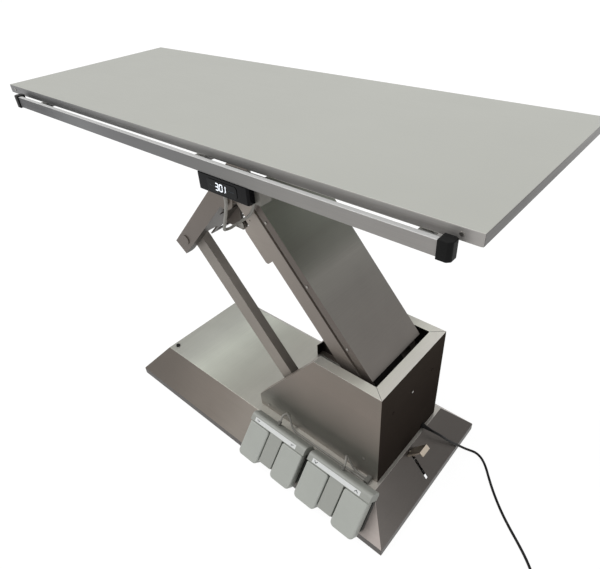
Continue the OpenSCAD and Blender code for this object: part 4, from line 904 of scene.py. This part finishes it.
def soft_block(bm, x0, v0, x1, v1, radii, low, high, soft):
    """A block on the slope with rounded corners and a rounded upper edge."""
    layers = [(soft/4, low), (0, low + soft/4)]
    for k in range(SOFT_STEPS + 1):
        a = math.pi/2*k/SOFT_STEPS
        layers.append((soft*(1 - math.cos(a)), high - soft + soft*math.sin(a)))
    rings = []
    for shrink, w in layers:
        outline = soft_outline(x0, v0, x1, v1, radii, shrink)
        rings.append([bm.verts.new(slope_point(x, v, w)) for x, v in outline])
    for ring, following in zip(rings, rings[1:]):
        n = len(ring)
        for i in range(n):
            j = (i + 1) % n
            bm.faces.new((ring[i], ring[j], following[j], following[i])).smooth = True
    bm.faces.new(rings[0])
    bm.faces.new(rings[-1])


def round_pad(name, x0, inner_at_right):
    """A pad: wide radii at its free end, a smaller one at its inner hinge corner."""
    near = (INNER_R, OUTER_R) if inner_at_right else (OUTER_R, INNER_R)

    def build(bm):
        soft_block(bm, x0, PAD_FAR, x0 + PAD_W, PAD_NEAR, (FREE_R, FREE_R, *near), PAD_LOW,
                   PAD_TOP, PAD_SOFT)

    piece = mesh_piece(name + "_soft", name, pedal_plastic, build)
    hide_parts(name)


def pedal_cases(bm):
    """Each case: the ridge that carries the label, and the bridge between the pads."""
    for x0 in PEDAL_X:
        middle = x0 + PEDAL_LEN/2
        soft_block(bm, middle - BRIDGE_HALF, CASE_FAR, middle + BRIDGE_HALF, BRIDGE_NEAR,
                   (3*MM, 3*MM, 2*MM, 2*MM), 0, BRIDGE_TOP, 2*MM)
        prism(bm, in_mm(RIDGE_PROFILE), slope_point(x0, 0, 0), SLOPE_UP, SLOPE_OUT, ALONG,
              PEDAL_LEN)


def pedal_floors(bm):
    """The floor of each case, under its pads, darkened with painted shade."""
    for x0 in PEDAL_X:
        soft_block(bm, x0 + FLOOR_SIDE, CASE_FAR, x0 + PEDAL_LEN - FLOOR_SIDE, FLOOR_NEAR,
                   (8*MM, 8*MM, 2*MM, 2*MM), 0, FLOOR_TOP, 1*MM)


def pedal_strips(bm):
    """The white strip on each ridge."""
    for x0 in PEDAL_X:
        soft_block(bm, x0 + LABEL_ENDS[0]*PEDAL_LEN, LABEL_LOW, x0 + LABEL_ENDS[1]*PEDAL_LEN,
                   LABEL_HIGH, (1*MM,)*4, RIDGE_TOP - LABEL_RISE, RIDGE_TOP + LABEL_RISE,
                   LABEL_SOFT)


for pad_name, pad_x, inner_at_right in (
        ("pad_tilt_left", PEDAL_X[0] + PAD_SIDE, True),
        ("pad_tilt_right", PEDAL_X[0] + PEDAL_LEN - PAD_SIDE - PAD_W, False),
        ("pad_down", PEDAL_X[1] + PAD_SIDE, True),
        ("pad_up", PEDAL_X[1] + PEDAL_LEN - PAD_SIDE - PAD_W, False)):
    round_pad(pad_name, pad_x, inner_at_right)

cases = mesh_piece("pedal_cases", "base", case_plastic, pedal_cases)
soften(cases, CASE_EDGE, 3)
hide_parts("pedal_case_left", "pedal_case_right")
mesh_piece("pedal_floors", "base", case_dark, pedal_floors)
strips = mesh_piece("pedal_strips", "base", label_white, pedal_strips)
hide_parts("pedal_labels")


def on_label(x0, x):
    return slope_point(x0 + x*PEDAL_LEN, (LABEL_LOW + LABEL_HIGH)/2, RIDGE_TOP + LABEL_RISE)


def chevron(up):
    """A pedal's chevron, pointing up or down the slope."""
    sign = 1 if up else -1
    points = [(-5, -1.3), (0, 3.7), (5, -1.3), (5, -3.7), (0, 1.3), (-5, -3.7)]
    return in_mm([(u, sign*v) for u, v in points])


def pedal_marks(bm):
    """Chevrons for up and down, and a leaning top with an arrow for each tilt."""
    for x, up in zip(MARK_ENDS, (False, True)):
        prism(bm, chevron(up), on_label(PEDAL_X[1], x), ALONG, SLOPE_UP, SLOPE_OUT, INK)
    for x, side in zip(MARK_ENDS, (1, -1)):
        tilt = -MARK_TILT*side
        across = ALONG*math.cos(tilt) + SLOPE_UP*math.sin(tilt)
        upward = SLOPE_UP*math.cos(tilt) - ALONG*math.sin(tilt)
        bar = [(-5, -1.6), (5, -1.6), (5, -0.8), (-5, -0.8)]
        head = [(side*5, 3), (side*1.8, 3.4), (side*3.6, 0.4)]
        tail = [(-side*4, 1), (side*3, 2.4), (side*3, 1.5), (-side*4, 0.4)]
        place = on_label(PEDAL_X[0], x)
        for outline in (bar, head, tail):
            prism(bm, in_mm(outline), place, across, upward, SLOPE_OUT, INK)


mesh_piece("pedal_marks", "base", mark_grey, pedal_marks)

# Seams in the sheet metal, and a small hole drawn as a disc of painted shade
FLANGE = 27*MM
FLANGE_END = 33*MM
SEAM = 0.9*MM
SEAM_DEPTH = 0.08*MM
SEAM_INSET = 0.02
ARM_SIDE_Y = -0.105
HOLE_ALONG = 73*MM
HOLE_OUT = -10*MM
HOLE_R = 2*MM
# Dark for the seams' joints, and painted shade for the hole
seam_dark = plain("seam_dark", tone(58, 54, 50), 0.2, 0.6, 900)


def seam(bm, a, b, out):
    """A thin dark line from a to b that lies on a face."""
    run = b - a
    ahead = run.normalized()
    side = out.cross(ahead)
    outline = [(0, -SEAM/2), (run.length, -SEAM/2), (run.length, SEAM/2), (0, SEAM/2)]
    prism(bm, outline, a, ahead, side, out, SEAM_DEPTH)


def rim_seams(bm):
    """The mitred corners of the housing's folded rim."""
    for side in (-1, 1):
        inner = Vector((HOUSE_END - FLANGE_END, side*(HOUSE_HALF - FLANGE), HOUSE_TOP))
        outer = Vector((HOUSE_END, side*HOUSE_HALF, HOUSE_TOP))
        seam(bm, inner.lerp(outer, SEAM_INSET), inner.lerp(outer, 1 - SEAM_INSET), UPWARD)


mesh_piece("rim_seams", "base", seam_dark, rim_seams)


def arm_hole(bm):
    """The small hole in the front rail, below the ear, as a dark disc of painted shade."""
    place = ARM_TOP + Vector((0, ARM_SIDE_Y, 0)) + ARM_DOWN*HOLE_ALONG + ARM_OUT*HOLE_OUT
    prism(bm, circle(HOLE_R, 16), place, ARM_DOWN, ARM_OUT, OUTWARD, SEAM_DEPTH)


mesh_piece("arm_hole", "arm", seam_dark, arm_hole)


# Floor, light and world

# The dark stretch of floor under the plinth
UNDER_X = 0.061
UNDER_HALF_X = 0.47
UNDER_HALF_Y = 0.21
FLOOR_SHADE = (0.82, 0.82, 0.82, 1)
FLOOR_GLOW = 1.1
# The glow's share of what the camera sees; the rest shows faint shadows
GLOW_SHARE = 0.86
FLOOR_HALF = 14
FLOOR_DROP = 0.0003


def floor_material():
    """White for the camera and in reflections, except under the plinth, with faint shadows."""
    f = Finish("floor_white", 0, 0.9)
    f.shader.inputs["Base Color"].default_value = FLOOR_SHADE
    path = f.add("ShaderNodeLightPath")
    seen = f.maths("MAXIMUM", path.outputs["Is Camera Ray"], path.outputs["Is Glossy Ray"])
    beyond = []
    for direction, middle, half in (((1, 0, 0), UNDER_X, UNDER_HALF_X),
                                    ((0, 1, 0), 0, UNDER_HALF_Y)):
        away = f.maths("ABSOLUTE", f.maths("SUBTRACT", f.along(direction), middle))
        beyond.append(f.maths("GREATER_THAN", away, half))
    open_floor = f.maths("MAXIMUM", *beyond)
    glow = f.add("ShaderNodeEmission")
    glow.inputs["Color"].default_value = (1, 1, 1, 1)
    glow.inputs["Strength"].default_value = FLOOR_GLOW
    mix = f.add("ShaderNodeMixShader")
    share = f.maths("MULTIPLY", seen, GLOW_SHARE)
    f.join(f.maths("MULTIPLY", share, open_floor), mix.inputs[0])
    f.join(f.shader.outputs[0], mix.inputs[1])
    f.join(glow.outputs[0], mix.inputs[2])
    output = f.tree.nodes["Material Output"]
    f.join(mix.outputs[0], output.inputs["Surface"])
    return f.material


def make_floor():
    mesh = bpy.data.meshes.new("floor")
    half = FLOOR_HALF
    corners = [(-half, -half, 0), (half, -half, 0), (half, half, 0), (-half, half, 0)]
    mesh.from_pydata([Vector(c) for c in corners], [], [(0, 1, 2, 3)])
    mesh.materials.append(floor_material())
    floor = bpy.data.objects.new("floor", mesh)
    floor.location = (0, 0, -FLOOR_DROP)
    bpy.context.scene.collection.objects.link(floor)


make_floor()


ROOM_LIGHT = 0.62
WHITE_BACKGROUND = 1.0


def make_world():
    """White where it is seen or mirrored, and softer where it only lights."""
    world = bpy.data.worlds.new("studio")
    bpy.context.scene.world = world
    world.use_nodes = True
    tree = world.node_tree
    light = tree.nodes["Background"]
    light.inputs["Color"].default_value = (1, 1, 1, 1)
    path = tree.nodes.new("ShaderNodeLightPath")
    seen = math_node(tree, "MAXIMUM", path.outputs["Is Camera Ray"],
                     path.outputs["Is Glossy Ray"])
    seen = math_node(tree, "MAXIMUM", seen, path.outputs["Is Transmission Ray"])
    strength = tree.nodes.new("ShaderNodeMapRange")
    strength.inputs["To Min"].default_value = ROOM_LIGHT
    strength.inputs["To Max"].default_value = WHITE_BACKGROUND
    tree.links.new(seen, strength.inputs["Value"])
    tree.links.new(strength.outputs["Result"], light.inputs["Strength"])


make_world()


SUN_STRENGTH = 1.1
SUN_TOWARDS = Vector((0.55, 0.45, -1.0))
SUN_ANGLE = math.radians(25)


def make_sun():
    """A broad key light from the upper left front."""
    data = bpy.data.lights.new("key", "SUN")
    data.energy = SUN_STRENGTH
    data.angle = SUN_ANGLE
    sun = bpy.data.objects.new("key", data)
    sun.rotation_mode = "QUATERNION"
    sun.rotation_quaternion = SUN_TOWARDS.to_track_quat("-Z", "Y")
    bpy.context.scene.collection.objects.link(sun)


make_sun()
bpy.context.scene.view_settings.view_transform = "Standard"
